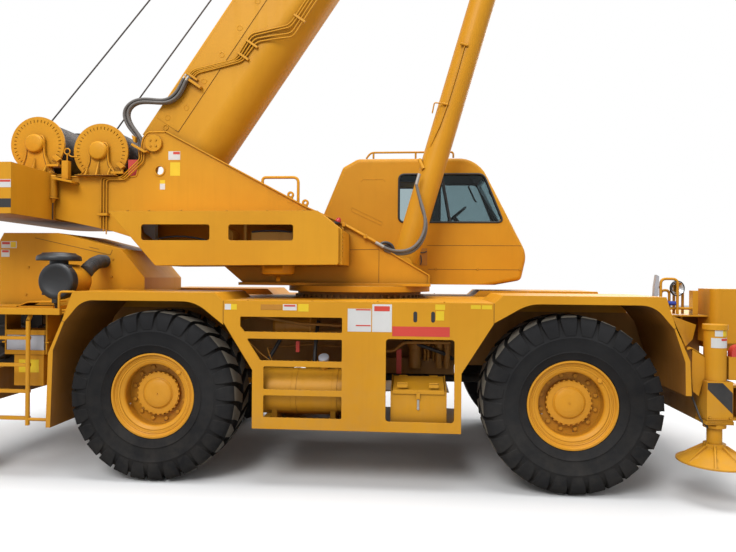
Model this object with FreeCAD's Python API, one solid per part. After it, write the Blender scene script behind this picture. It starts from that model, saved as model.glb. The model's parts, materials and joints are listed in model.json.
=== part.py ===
# Rough-terrain mobile crane: four big steered wheels, a slewing turret and a four-part telescopic boom.
# Lengths are in millimetres, +X points to the front, +Y to the left, +Z up, and the wheels stand on z = 0.
# Places are worked out from the slewing axis; one shift at the end centres the whole machine on the origin.
import FreeCAD, Part
import math
import os

os.makedirs("parts", exist_ok=True)
V = FreeCAD.Vector
X, Y, Z = V(1, 0, 0), V(0, 1, 0), V(0, 0, 1)

# Clearances
RUN_FIT = 0.05          # radial clearance of a pin or spindle in its bore
SEAT_GAP = 0.3          # gap between curved faces, or faces that slide on each other
MOVE_GAP = 6.0          # gap between pieces that pass each other

# Wheels and steering
TYRE_R = 800.0
TYRE_W = 595.0
LUG_H = 42.0
LUG_COUNT = 28
TRACK_HALF = 1190.0
FRONT_AXLE_X = 2040.0
REAR_AXLE_X = -1810.0
HUB_Z = TYRE_R
RIM_FLANGE_R = 400.0
RIM_SEAT_R = 330.0
RIM_INNER_R = 302.0
RIM_HALF_W = 245.0
DISC_V = 40.0           # outward distance from the wheel's middle to the disc
HUB_BACK = 85.0         # from the disc in to the hub's back
KINGPIN_Y = 970.0
KINGPIN_R = 35.0
SPINDLE_R = 60.0
STEER_ARM = 200.0
STEER_LIMIT = 24.0      # degrees each way
TIE_ROD_R = 22.0

# Carrier
HALF_W = 1490.0         # half the overall width, to the side panels' outer faces
FRAME_HALF_W = 470.0
FRAME_TOP = 1580.0
FRAME_BOTTOM = 1010.0
FRAME_WALL = 30.0
FRAME_REAR_X = -3560.0
FRAME_FRONT_X = 3140.0
DECK_TOP = 1705.0
DECK_T = 12.0
PANEL_T = 14.0
PANEL_BOTTOM = 535.0
FENDER_TOP = 1775.0
REAR_DECK_Z = 1550.0
LADDER_X, LADDER_W, LADDER_FOOT_Z = -3020.0, 420.0, 500.0
FENDER_IN_Y = 520.0
RING_R = 700.0
RING_H = 60.0

TOOL_X0, TOOL_X1 = 420.0, 930.0
LID_Y, LID_Z = -1058.0, 970.0         # the tool lid's hinge line

# Outriggers
BOX_WALL = 22.0
BEAM_W = 150.0
BEAM_H = 260.0
BEAM_GAP = MOVE_GAP
BOX_Z = 830.0           # middle height of the outrigger beams
FRONT_BOX_X = 3160.0
REAR_BOX_X = -3920.0
BOX_HALF_W = 1290.0
BEAM_END_Y = 1405.0
BEAM_STROKE = 1900.0
JACK_R = 92.0
JACK_ROD_R = 62.0
JACK_TOP = 1515.0
JACK_STROKE = 560.0
FLOAT_R = 305.0
FLOAT_RIBS = 8
FLOAT_Z = 335.0         # underside of a stowed float

# Tow eyes
TOW_Y = 380.0
TOW_Z = 850.0
TOW_T = 45.0
TOW_HOLE_R = 32.0
TOW_REACH = 75.0        # from the end of the frame to the hole

# Turret
PLATE_OUT_Y = 450.0
PLATE_T = 30.0
TURRET_BASE_Z = 1770.0
TURRET_DECK_Z = 1865.0
TAIL_TOP_Z = 3020.0
TAIL_X = -3380.0
WINCH_FLOOR_Z = 2975.0
WINCH_REAR_X = -3800.0
WEIGHT_REAR_X = -4080.0
WEIGHT_HALF_W = 1200.0
WEIGHT_BOTTOM = 2535.0
WEIGHT_TOP = 3050.0
DRUM_R = 315.0
DRUM_HALF_W = 410.0
DRUM_SHAFT_R = 45.0
DRUM_NOTCHES = 40
STAND_T = 34.0
STAND_FOOT = 80.0
DRUMS = {"main": (-3619.0, 3392.0), "aux": (-2878.0, 3306.0)}
VALVE_OUT_Y = 1170.0
VALVE_WALL = 12.0

# Cab
CAB_IN_Y = 480.0
CAB_OUT_Y = 1330.0
CAB_WALL = 45.0
CAB_FLOOR_Z = 1846.0
DOOR_X0, DOOR_X1 = 120.0, 860.0
DOOR_Z0, DOOR_Z1 = 1935.0, 3240.0
DOOR_Y, DOOR_T = CAB_OUT_Y + MOVE_GAP, 35.0
DOOR_TRAVEL = 600.0
CAB_EDGE_R = 55.0
GLASS_T = 6.0

# Boom
FOOT_X, FOOT_Z = -2240.0, 3380.0
BOOM_ANGLE = 55.6       # degrees above level, as it stands
BOOM_LOW, BOOM_HIGH = -1.0, 80.0
FOOT_PIN_R = 60.0
ABOVE_PIN = 250.0       # from the foot pin up to the boom's top face
BOOM_LENGTH = 11000.0   # foot pin to head sheaves, drawn in
TELE_STROKE = 7660.0
TUBE_WALL = 12.0
# Boom tubes: name, depth, width, rear end along the boom from the foot pin, front end
TUBES = [
    ("boom_base", 880.0, 650.0, 0.0, BOOM_LENGTH - 1450),
    ("boom_second", 776.0, 546.0, 900.0, BOOM_LENGTH - 1100),
    ("boom_third", 672.0, 442.0, 1100.0, BOOM_LENGTH - 750),
    ("boom_fly", 568.0, 338.0, 1300.0, BOOM_LENGTH - 440),
]
HEAD_T = -640.0         # the head sheaves' axle, across the boom from the foot pin's line
IDLER_S, IDLER_T = BOOM_LENGTH - 200, 60.0            # the idler sheave on top of the head
SHEAVE_R = 200.0
SHEAVE_T = 46.0
HOOK_DROP = 800.0       # from the head sheaves down to the hook block's sheaves
HOOK_PLATE_R = 170.0
HOOK_SHEAVE_R = 150.0
HEAD_SPACING = (-90.0, 0.0, 90.0)       # the head sheaves across the boom
ROPE_R = 9.0
FALL_RISE = 14.2        # from a sheave groove's bottom to the middle of its rope

# Lift cylinder
LIFT_BASE_X, LIFT_BASE_Z = 500.0, 2060.0
LIFT_EYE_S, LIFT_EYE_T = 7200.0, -780.0     # the rod's eye, along and across the boom from the foot pin
BARREL_R = 143.0
BARREL_L = 4250.0
LIFT_ROD_R = 90.0
LIFT_PIN_R = 50.0
LIFT_TURN = 0.2111      # turn of the cylinder against the boom, per turn of the boom
LIFT_FEED = 2.667       # metres that the cylinder lengthens, per radian of the boom


# Shapes

def box(x0, x1, y0, y1, z0, z1):
    """A block between two corners."""
    return Part.makeBox(x1 - x0, y1 - y0, z1 - z0, V(x0, y0, z0))


def rod(start, end, radius):
    """A round bar from one point to another."""
    along = end - start
    return Part.makeCylinder(radius, along.Length, start, along)


def fuse(shapes):
    """One clean solid from pieces that touch."""
    first, rest = shapes[0], shapes[1:]
    return first.multiFuse(rest).removeSplitter() if rest else first


def cut(shape, tools):
    """The shape less each tool."""
    return shape.cut(Part.makeCompound(tools))


def mirrored(shape):
    """The same shape on the other side of the machine."""
    return shape.mirror(V(0, 0, 0), Y)


def moved(shape, x=0.0, y=0.0, z=0.0):
    """A copy of the shape, shifted."""
    copy = shape.copy()
    copy.translate(V(x, y, z))
    return copy


def wire(points):
    """A closed outline. A point is (a, b), or (a, b, r) for a corner rounded to radius r."""
    corners = [V(p[0], p[1], 0) for p in points]
    radii = [p[2] if len(p) > 2 else 0.0 for p in points]
    count = len(corners)
    starts, ends, arcs = [], [], []
    for i, corner in enumerate(corners):
        back = (corners[i - 1] - corner).normalize()
        ahead = (corners[(i + 1) % count] - corner).normalize()
        if radii[i]:
            half = back.getAngle(ahead) / 2
            reach = radii[i] / math.tan(half)
            middle = corner + (back + ahead).normalize() * (radii[i] / math.sin(half) - radii[i])
            starts.append(corner + back * reach)
            ends.append(corner + ahead * reach)
            arcs.append(middle)
        else:
            starts.append(corner)
            ends.append(corner)
            arcs.append(None)
    edges = []
    for i in range(count):
        if arcs[i]:
            edges.append(Part.Arc(starts[i], arcs[i], ends[i]).toShape())
        following = starts[(i + 1) % count]
        if (following - ends[i]).Length > 1e-6:
            edges.append(Part.LineSegment(ends[i], following).toShape())
    return Part.Wire(edges)


def side_plate(points, y0, y1):
    """A plate with its outline in (x, z), from y0 to y1."""
    face = Part.Face(wire(points))
    face.rotate(V(0, 0, 0), X, 90)
    face.translate(V(0, y1, 0))
    return face.extrude(V(0, y0 - y1, 0))


def cross_plate(points, x0, x1):
    """A plate with its outline in (y, z), from x0 to x1."""
    face = Part.Face(wire(points))
    face.rotate(V(0, 0, 0), V(1, 1, 1), 120)
    face.translate(V(x0, 0, 0))
    return face.extrude(V(x1 - x0, 0, 0))


def flat_plate(points, z0, z1):
    """A plate with its outline in (x, y), from z0 to z1."""
    face = Part.Face(wire(points))
    face.translate(V(0, 0, z0))
    return face.extrude(V(0, 0, z1 - z0))


def turned(profile, centre, axis):
    """A round piece: profile of (radius, distance) points, turned about the axis through the centre."""
    face = Part.Face(Part.makePolygon([V(r, 0, h) for r, h in profile + profile[:1]]))
    solid = face.revolve(V(0, 0, 0), Z, 360)
    solid.Placement = FreeCAD.Placement(centre, FreeCAD.Rotation(Z, axis)).multiply(solid.Placement)
    return solid


# Wheels, hubs and steering. Each is made for a left wheel whose middle is at the origin, +Y outwards.

def lug(index, side):
    """One slanted tread lug, from the shoulder towards the middle of the tread."""
    inner, outer, half, lean = 18.0, TYRE_W / 2, 44.0, 37.0
    shape = [(-half + lean, inner), (half + lean, inner), (half - lean * 0.6, outer * 0.6),
             (half - lean, outer), (-half - lean, outer), (-half - lean * 0.6, outer * 0.6)]
    top = math.sqrt(TYRE_R ** 2 - (half + lean) ** 2)
    block = flat_plate([(a, side * b) for a, b in shape], TYRE_R - 2.2 * LUG_H, top)
    turn = 360.0 / LUG_COUNT * (index + (0.5 if side < 0 else 0.0))
    block.rotate(V(0, 0, 0), Y, turn)
    return block


def tyre():
    """The tyre with its lugs."""
    half, w = TYRE_W / 2, RIM_HALF_W
    carcass = [(RIM_SEAT_R + SEAT_GAP, -w + 20.6), (RIM_FLANGE_R + SEAT_GAP, -w + 14.6),
               (RIM_FLANGE_R + 6, -w - 6), (RIM_FLANGE_R + 130, -half), (TYRE_R - 120, -half + 4),
               (TYRE_R - LUG_H, -half + 60)]
    body = turned(carcass + [(r, -h) for r, h in reversed(carcass)], V(0, 0, 0), Y)
    return body.multiFuse([lug(i, side) for side in (-1, 1) for i in range(LUG_COUNT)])


def rim():
    """The rim, its deep disc, and the geared hub with its cap, bored for the spindle."""
    w = RIM_HALF_W
    barrel = turned([(RIM_INNER_R, -w), (RIM_FLANGE_R, -w), (RIM_FLANGE_R, -w + 14), (RIM_SEAT_R, -w + 20),
                     (RIM_SEAT_R, w - 20), (RIM_FLANGE_R, w - 14), (RIM_FLANGE_R, w), (368, w), (350, w - 24),
                     (RIM_INNER_R + 16, w - 24), (RIM_INNER_R, w - 60)],
                    V(0, 0, 0), Y)
    back = DISC_V - HUB_BACK
    disc = turned([(0, back), (150, back), (150, DISC_V), (RIM_INNER_R + 4, DISC_V),
                   (RIM_INNER_R + 4, DISC_V + 20), (190, DISC_V + 20), (190, DISC_V + 70),
                   (120, DISC_V + 74), (120, DISC_V + 84), (112, DISC_V + 92), (0, DISC_V + 92)],
                  V(0, 0, 0), Y)
    bore = rod(V(0, back - 1, 0), V(0, DISC_V - 15, 0), SPINDLE_R + RUN_FIT)
    return cut(fuse([barrel, disc]), [bore])


def knuckle(outward):
    """The steered knuckle: kingpin, block, spindle and steering arm. outward is the arm's direction in x."""
    offset = KINGPIN_Y - TRACK_HALF
    block = box(-75, 75, offset - 55, offset + 122, -119, 119)
    kingpin = rod(V(0, offset, -172), V(0, offset, 172), KINGPIN_R)
    face_y = DISC_V - HUB_BACK - MOVE_GAP
    flange = rod(V(0, offset + 120, 0), V(0, face_y, 0), 138)
    spindle = rod(V(0, face_y - 5, 0), V(0, DISC_V - 20, 0), SPINDLE_R)
    arm = flat_plate([(outward * 60, offset - 34), (outward * (STEER_ARM + 34), offset - 34, 33),
                      (outward * (STEER_ARM + 34), offset + 34, 33), (outward * 60, offset + 34)], -42, -12)
    return fuse([block, kingpin, flange, spindle, arm])


def axle(axle_x, inward):
    """An axle housing with its bulge, end yokes and seats. inward is the direction of the drive shaft in x."""
    pieces = [rod(V(0, -(KINGPIN_Y - 160), 0), V(0, KINGPIN_Y - 160, 0), 108)]
    pieces.append(turned([(0, -230), (120, -215), (200, -110), (200, 110), (120, 215), (0, 230)],
                         V(inward * 62, 0, 0), Y))
    pieces.append(rod(V(0, 0, 0), V(inward * 370, 0, 0), 95))
    for side in (-1, 1):
        y_back = side * (KINGPIN_Y - 190)
        y_face = side * (KINGPIN_Y - 150)
        low, high = sorted((y_back, y_face))
        pieces.append(box(-92, 92, low, high, -165, 165))
        low, high = sorted((y_back, side * (KINGPIN_Y + 58)))
        for z0, z1 in ((125, 165), (-165, -125)):
            pieces.append(box(-68, 68, low, high, z0, z1))
        seat = box(-120, 120, min(side * 330, side * 440), max(side * 330, side * 440), 0,
                   FRAME_BOTTOM - HUB_Z)
        pieces.append(seat)
    bores = [rod(V(0, side * KINGPIN_Y, -200), V(0, side * KINGPIN_Y, 200), KINGPIN_R + RUN_FIT)
             for side in (-1, 1)]
    return moved(cut(fuse(pieces), bores), axle_x, 0, HUB_Z)


def tie_rod(axle_x, outward):
    """The rod that joins the two steering arms, with a stud on each arm."""
    x = axle_x + outward * STEER_ARM
    z = HUB_Z + 14
    bar = rod(V(x, -KINGPIN_Y - 18, z), V(x, KINGPIN_Y + 18, z), TIE_ROD_R)
    studs = [rod(V(x, side * KINGPIN_Y, HUB_Z - 12 + SEAT_GAP), V(x, side * KINGPIN_Y, z + 30), 16)
             for side in (-1, 1)]
    return fuse([bar] + studs)


def wheels():
    """Tyres, rims and knuckles at the four corners: name, axle place, side, way out from the middle."""
    corners = [("front_left", FRONT_AXLE_X, 1, 1), ("front_right", FRONT_AXLE_X, -1, 1),
               ("rear_left", REAR_AXLE_X, 1, -1), ("rear_right", REAR_AXLE_X, -1, -1)]
    made = {}
    left_tyre, left_rim = tyre(), rim()
    for name, x, side, outward in corners:
        for kind, solid in (("tyre", left_tyre), ("rim", left_rim), ("knuckle", knuckle(outward))):
            placed = mirrored(solid) if side < 0 else solid
            made[f"{kind}_{name}"] = moved(placed, x, side * TRACK_HALF, HUB_Z)
    made["axles"] = Part.makeCompound([axle(FRONT_AXLE_X, -1), axle(REAR_AXLE_X, 1)])
    made["front_tie_rod"] = tie_rod(FRONT_AXLE_X, 1)
    made["rear_tie_rod"] = tie_rod(REAR_AXLE_X, -1)
    return made


# Carrier

def outrigger_lane(box_x, side):
    """The x range of a beam: the right beam runs behind the left one."""
    first = box_x + BOX_WALL + BEAM_GAP
    if side > 0:
        first += BEAM_W + BEAM_GAP + BOX_WALL + BEAM_GAP
    return first, first + BEAM_W


FRONT_END_X = outrigger_lane(FRONT_BOX_X, 1)[1] + BEAM_GAP + BOX_WALL
OUTRIGGER_TOP_Z = BOX_Z + BEAM_H / 2 + BEAM_GAP + BOX_WALL


def tow_eye(edge_x, towards, y):
    """A tow eye on an outrigger box: a rounded plate with its hole."""
    hole_x = edge_x + towards * TOW_REACH
    r = 70.0
    x0, x1 = sorted((edge_x, hole_x))
    plate = fuse([box(x0, x1, y - TOW_T / 2, y + TOW_T / 2, TOW_Z - r, TOW_Z + r),
                  rod(V(hole_x, y - TOW_T / 2, TOW_Z), V(hole_x, y + TOW_T / 2, TOW_Z), r)])
    return cut(plate, [rod(V(hole_x, y - 100, TOW_Z), V(hole_x, y + 100, TOW_Z), TOW_HOLE_R)])


def outrigger_box(box_x):
    """The cross box that two beams slide through, with a wall between their lanes."""
    half = BOX_HALF_W
    x1 = outrigger_lane(box_x, 1)[1] + BEAM_GAP + BOX_WALL
    z0, z1 = BOX_Z - BEAM_H / 2 - BEAM_GAP - BOX_WALL, OUTRIGGER_TOP_Z
    body = box(box_x, x1, -half, half, z0, z1)
    lanes = []
    for side in (-1, 1):
        a, b = outrigger_lane(box_x, side)
        lanes.append(box(a - BEAM_GAP, b + BEAM_GAP, -half - 1, half + 1,
                         BOX_Z - BEAM_H / 2 - SEAT_GAP, BOX_Z + BEAM_H / 2 + BEAM_GAP))
    edge, towards = (x1, 1) if box_x > 0 else (box_x, -1)
    eyes = [tow_eye(edge, towards, y) for y in (-TOW_Y, TOW_Y)]
    return fuse([cut(body, lanes)] + eyes)


def outrigger_boxes():
    """The front and rear outrigger boxes, welded under the frame's ends."""
    return Part.makeCompound([outrigger_box(FRONT_BOX_X), outrigger_box(REAR_BOX_X)])


def chassis():
    """The welded main frame with the slewing ring's lower half."""
    w = FRAME_HALF_W
    hull = box(FRAME_REAR_X, FRAME_FRONT_X, -w, w, FRAME_BOTTOM, FRAME_TOP)
    inner = box(FRAME_REAR_X + FRAME_WALL, FRAME_FRONT_X - FRAME_WALL, -w + FRAME_WALL, w - FRAME_WALL,
                FRAME_BOTTOM + FRAME_WALL, FRAME_TOP - FRAME_WALL)
    pieces = [cut(hull, [inner])]
    for low, high in ((FRAME_FRONT_X - 10, FRONT_END_X), (REAR_BOX_X, FRAME_REAR_X + 10)):
        pieces.append(box(low, high, -w, w, OUTRIGGER_TOP_Z, FRAME_TOP))
    pieces.append(turned([(560, FRAME_TOP - 5), (RING_R + 40, FRAME_TOP - 5), (RING_R + 40, DECK_TOP + 5),
                          (RING_R, DECK_TOP + 5), (RING_R, TURRET_BASE_Z - SEAT_GAP),
                          (560, TURRET_BASE_Z - SEAT_GAP)], V(0, 0, 0), Z))
    return fuse(pieces)


def fender(points, arch):
    """A fender: the band between its outer outline and its wheel arch, running in to the frame."""
    return side_plate(points + arch, FENDER_IN_Y, HALF_W)


def front_fenders():
    """The two front fenders."""
    outer = [(1337, 1700), (1420, FENDER_TOP), (2815, FENDER_TOP), (2900, 1500), (3020, 1220), (3034, 920)]
    arch = [(2984, 920), (2978, 1210), (2885, 1495), (2715, 1700, 240), (1640, 1700, 380), (1337, 1525)]
    left = fender(outer, arch)
    return Part.makeCompound([left, mirrored(left)])


def rear_fenders():
    """The two rear fenders, with their tall rear walls."""
    outer = [(-1120, 1700), (-1200, FENDER_TOP), (-2564, FENDER_TOP), (-2665, 1504), (-2800, 1190),
             (-2818, 490)]
    arch = [(-2774, 490), (-2752, 1220), (-2645, 1485), (-2470, 1692, 220), (-1390, 1692, 360), (-1120, 1480)]
    left = fender(outer, arch)
    return Part.makeCompound([left, mirrored(left)])


PANEL_OUTLINE = [(-1120, DECK_TOP), (-1120, 1506), (-845, 1070), (-845, PANEL_BOTTOM), (1055, PANEL_BOTTOM),
                 (1055, 1074), (1337, 1520), (1337, DECK_TOP)]


def side_panel():
    """The left side panel: an outer skin with step openings, a floor and two bulkheads to the frame."""
    skin = side_plate(PANEL_OUTLINE, HALF_W - PANEL_T, HALF_W)
    windows = [
        [(-960, 1470), (-920, 1421), (-20, 1421, 12), (-20, 1558, 12), (-960, 1558, 12)],
        [(-900, 1358, 12), (-770, 1159, 12), (-20, 1159, 12), (-20, 1358, 12)],
        [(-740, 897, 12), (-20, 897, 12), (-20, 1105, 12), (-740, 1105, 12)],
        [(-740, 640, 12), (-20, 640, 12), (-20, 842, 12), (-740, 842, 12)],
        [(379, 629, 30), (992, 629, 30), (992, 1373, 30), (379, 1373, 30)],
    ]
    holes = [side_plate(points, HALF_W - 2 * PANEL_T, HALF_W + 1) for points in windows]
    floor = box(-845, 1055, FRAME_HALF_W, HALF_W - PANEL_T, PANEL_BOTTOM, PANEL_BOTTOM + DECK_T)
    ring_edge = RING_R + 46
    wall = [(FRAME_HALF_W, PANEL_BOTTOM + DECK_T), (HALF_W - PANEL_T, PANEL_BOTTOM + DECK_T),
            (HALF_W - PANEL_T, DECK_TOP - DECK_T), (ring_edge, DECK_TOP - DECK_T),
            (ring_edge, FRAME_TOP - 5), (FRAME_HALF_W, FRAME_TOP - 5)]
    pieces = [cut(skin, holes), floor]
    for x in (40.0, 260.0):
        pieces.append(cross_plate(wall, x, x + DECK_T))
    return fuse(pieces)


def side_panels():
    """Both side panels."""
    left = side_panel()
    return Part.makeCompound([left, mirrored(left)])


def deck():
    """The flat deck plates between the fenders, around the slewing ring, and over both ends."""
    middle = box(-1120, 1337, -HALF_W + PANEL_T, HALF_W - PANEL_T, DECK_TOP - DECK_T, DECK_TOP)
    ring = rod(V(0, 0, DECK_TOP - 50), V(0, 0, DECK_TOP + 50), RING_R + 46)
    rear = box(-2700, -1120, -FENDER_IN_Y, FENDER_IN_Y, DECK_TOP - DECK_T, DECK_TOP)
    front = box(1337, 2820, -FENDER_IN_Y, FENDER_IN_Y, DECK_TOP - DECK_T, DECK_TOP)
    plates = cut(fuse([middle, rear, front]), [ring])
    webs = [box(x, x + 14, -FRAME_HALF_W, FRAME_HALF_W, FRAME_TOP, DECK_TOP - DECK_T)
            for x in (-2600.0, -1300.0, 1300.0, 2700.0)]
    for x0, x1 in ((-2700.0, -1120.0), (1337.0, 2820.0)):
        webs += [box(x0, x1, min(s * FRAME_HALF_W, s * (FRAME_HALF_W - DECK_T)),
                     max(s * FRAME_HALF_W, s * (FRAME_HALF_W - DECK_T)), FRAME_TOP, DECK_TOP - DECK_T)
                 for s in (-1, 1)]
    return fuse([plates] + webs)


def rear_deck():
    """The low rear decks beside the engine, with their edge rails and legs to the outrigger box."""
    plate = box(-3960, -2700, FRAME_HALF_W, HALF_W, REAR_DECK_Z, REAR_DECK_Z + DECK_T)
    edge = box(-3960, -2690, HALF_W - 40, HALF_W, REAR_DECK_Z, REAR_DECK_Z + 60)
    leg = box(-3900, -3860, 1130, 1170, OUTRIGGER_TOP_Z, REAR_DECK_Z)
    left = fuse([plate, edge, leg])
    return Part.makeCompound([left, mirrored(left)])


def hood():
    """The engine hood: a hollow cover with a sloped front and a louvred rear."""
    half, wall = FENDER_IN_Y, 22.0
    low = REAR_DECK_Z + DECK_T
    outline = [(-3980, low), (-3980, 2300), (-3930, 2390), (-3300, 2390), (-2580, 2215), (-2310, 1905),
               (-2310, DECK_TOP), (-2700, DECK_TOP), (-2700, low)]
    cover = side_plate(outline, -half, half)
    inner = side_plate([(-3960, 1500), (-3960, 2290), (-3915, 2368), (-3303, 2368), (-2592, 2193),
                        (-2332, 1896), (-2332, 1500)], -half + wall, half - wall)
    louvres = [box(-4000, -3950, -400, 400, z, z + 40) for z in (1700, 1790, 1880, 1970, 2060, 2150)]
    return cut(cover, [inner] + louvres)


def engine():
    """The engine and its cooler as one plain block on the frame."""
    return box(-3850, -2800, -380, 380, FRAME_TOP, 2150)


def air_cleaner():
    """The air cleaner across the rear deck: drum, end cap, rain hood and duct."""
    x, z = -2829.0, 1878.0
    drum = turned([(0, 0), (168, 0), (180, 14), (180, 96), (168, 100), (168, 340), (130, 380), (0, 380)],
                  V(x, -1340, z), Y)
    neck = rod(V(x - 75, -1150, z + 100), V(x - 75, -1150, z + 205), 86)
    cap = turned([(0, 0), (215, 0), (224, 26), (190, 60), (120, 76), (0, 76)], V(x - 75, -1150, z + 198), Z)
    duct = rod(V(x + 60, -1000, z + 40), V(x + 225, -541, z + 195), 55)
    duct = cut(duct, [box(x, x + 400, -FENDER_IN_Y, -FENDER_IN_Y + 200, z, z + 400)])
    floor = REAR_DECK_Z + DECK_T
    legs = [box(x + dx, x + dx + 40, -1200, -1160, floor, z - 100) for dx in (-90.0, 50.0)]
    return fuse([drum, neck, cap, duct] + legs)


def muffler():
    """The silencer on the left rear deck, with its tail pipe."""
    x, z = -3000.0, 1900.0
    can = rod(V(x - 420, 820, z), V(x + 420, 820, z), 140)
    pipe = rod(V(x - 300, 820, z), V(x - 300, 820, 2330), 50)
    inlet = rod(V(x + 200, FENDER_IN_Y, z), V(x + 200, 820, z), 50)
    floor = REAR_DECK_Z + DECK_T
    legs = [box(x + dx, x + dx + 40, 790, 850, floor, z - 100) for dx in (-320.0, 280.0)]
    return fuse([can, pipe, inlet] + legs)


def powertrain():
    """The engine block on the frame, and the gearbox under it with the shafts to both axles."""
    gearbox = box(-420, 260, -260, 260, 700, FRAME_BOTTOM)
    front = rod(V(260, 0, HUB_Z), V(FRONT_AXLE_X - 370, 0, HUB_Z), 50)
    rear = rod(V(-420, 0, HUB_Z), V(REAR_AXLE_X + 370, 0, HUB_Z), 50)
    return Part.makeCompound([engine(), fuse([gearbox, front, rear])])


def fuel_tank():
    """The round tank that lies behind the right steps, on two cradles."""
    y, z, r = -1210.0, 840.0, 215.0
    tank = rod(V(-800, y, z), V(20, y, z), r)
    floor = PANEL_BOTTOM + DECK_T
    cradles = [box(x, x + 50, y - 150, y + 150, floor, z - 120) for x in (-690.0, -140.0)]
    return fuse([tank] + cradles)


def oil_tank():
    """The square oil tank on the left side, on the panel's floor."""
    floor = PANEL_BOTTOM + DECK_T
    return box(-780, 20, 900, HALF_W - 80, floor, 1180)


def tanks():
    """The fuel tank and the oil tank."""
    return Part.makeCompound([fuel_tank(), oil_tank()])


def tool_box():
    """The open-topped tool box behind the right cut-out, with ears and a pin for its lid."""
    floor = PANEL_BOTTOM + DECK_T
    body = cross_plate([(-1400, floor), (-1400, 890), (-1080, 960), (-1080, floor)], TOOL_X0, TOOL_X1)
    inner = cross_plate([(-1388, floor + 12), (-1388, 990), (-1092, 990), (-1092, floor + 12)],
                        TOOL_X0 + 12, TOOL_X1 - 12)
    ear = [(-1081, 900), (LID_Y + 14, 930), (LID_Y + 14, LID_Z + 14), (LID_Y - 14, LID_Z + 14), (-1081, 950)]
    ears = [cross_plate(ear, x, x + 12) for x in (TOOL_X0, TOOL_X1 - 12)]
    pin = rod(V(TOOL_X0 + 1, LID_Y, LID_Z), V(TOOL_X1 - 1, LID_Y, LID_Z), 7)
    return fuse([cut(body, [inner])] + ears + [pin])


def tool_lid():
    """The tool box's sloped lid with its two hinge knuckles."""
    plate = cross_plate([(-1412, 890), (-1412, 902), (LID_Y - 10, 978), (LID_Y - 10, 966)],
                        TOOL_X0 + 20, TOOL_X1 - 20)
    lip = cross_plate([(-1412, 868), (-1412, 902), (-1404, 902), (-1404, 868)], TOOL_X0 + 20, TOOL_X1 - 20)
    knuckles = [rod(V(x, LID_Y, LID_Z), V(x + 80, LID_Y, LID_Z), 15) for x in (TOOL_X0 + 70, TOOL_X1 - 150)]
    bore = rod(V(TOOL_X0, LID_Y, LID_Z), V(TOOL_X1, LID_Y, LID_Z), 7 + RUN_FIT)
    return cut(fuse([plate, lip] + knuckles), [bore])


def battery_box():
    """The battery case with its lid and tray, and the locker under it, hung from the right rear deck."""
    y0, y1 = -1300.0, -1060.0
    case = box(-3340, -2962, y0, y1, 1180, 1352)
    lid = box(-3352, -2950, y0 - 12, y1 + 6, 1340, 1388)
    tray = box(-3352, -2950, y0 - 12, y1 + 6, 1150, 1192)
    locker = box(-3262, -2962, y0, y1 + 20, 845, 1150)
    hangers = [box(x, x + 16, y0 + 10, y1 - 10, 1150, REAR_DECK_Z) for x in (-3368.0, -2950.0)]
    return fuse([case, lid, tray, locker] + hangers)


def ladder():
    """A rear ladder: two posts bent in at the top and four rungs."""
    y, r = -(HALF_W - 35), 20.0
    posts = []
    for x in (LADDER_X, LADDER_X - LADDER_W):
        posts += [rod(V(x, y, LADDER_FOOT_Z), V(x, y, REAR_DECK_Z - 60), r),
                  rod(V(x, y, REAR_DECK_Z - 60), V(x, y + 30, REAR_DECK_Z - 14), r),
                  rod(V(x, y + 30, REAR_DECK_Z - 20), V(x, y + 30, REAR_DECK_Z), r)]
    rungs = [box(LADDER_X - LADDER_W - 30, LADDER_X + 15, y - 14, y + 26, z, z + 30)
             for z in (LADDER_FOOT_Z + dz for dz in (50.0, 305.0, 555.0, 810.0))]
    return fuse(posts + rungs)


def ladders():
    """The rear ladders on both sides."""
    right = ladder()
    return Part.makeCompound([right, mirrored(right)])


def front_end():
    """The front deck with its round-cornered locker and post on the right, bent guards and nose."""
    deck_plate = box(2880, 3640, -1000, 1000, FRAME_TOP, FRAME_TOP + 14)
    corner = 70.0
    locker = [(3390, -790), (3390, -1090, corner), (3680, -1090, corner), (3680, -790)]
    pieces = [deck_plate, box(FRONT_END_X, FRONT_END_X + 160, -900, 900, 1250, FRAME_TOP),
              flat_plate(locker, 1340, 1845), box(3262, 3312, -970, -890, FRAME_TOP, 1825)]
    for s in (-1, 1):
        pieces.append(box(3180, 3200, s * 700 - 200, s * 700 + 200, OUTRIGGER_TOP_Z, FRAME_TOP))
        near, far = sorted((s * 560, s * 1060))
        pieces.append(side_plate([(2900, FRAME_TOP), (2990, 1480), (3150, 1300), (3162, 1308), (3004, 1490),
                                  (2914, FRAME_TOP)], near, far))
    return fuse(pieces)


def lamps():
    """Head lamps in the nose and tail lamps on the rear box."""
    x1 = FRONT_END_X + 160
    front = [rod(V(x1, y, 1400), V(x1 + 40, y, 1400), 75) for y in (-700.0, 700.0)]
    tail = [box(REAR_BOX_X - 40, REAR_BOX_X, y - 110, y + 110, 880, 960) for y in (-1080.0, 1080.0)]
    return Part.makeCompound(front + tail)


# Outriggers

def float_foot(x, y):
    """The round float under a jack: a low cone with a rim and ribs."""
    cone = turned([(0, 0), (FLOAT_R, 0), (FLOAT_R, 14), (105, 120), (90, 130), (90, 165), (0, 165)],
                  V(x, y, FLOAT_Z), Z)
    rib = side_plate([(60, 2), (FLOAT_R - 12, 2), (FLOAT_R - 12, 26), (100, 150), (60, 150)], -7, 7)
    ribs = []
    for i in range(FLOAT_RIBS):
        piece = rib.copy()
        piece.rotate(V(0, 0, 0), Z, 360.0 / FLOAT_RIBS * (i + 0.5))
        ribs.append(moved(piece, x, y, FLOAT_Z))
    return fuse([cone] + ribs)


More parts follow.
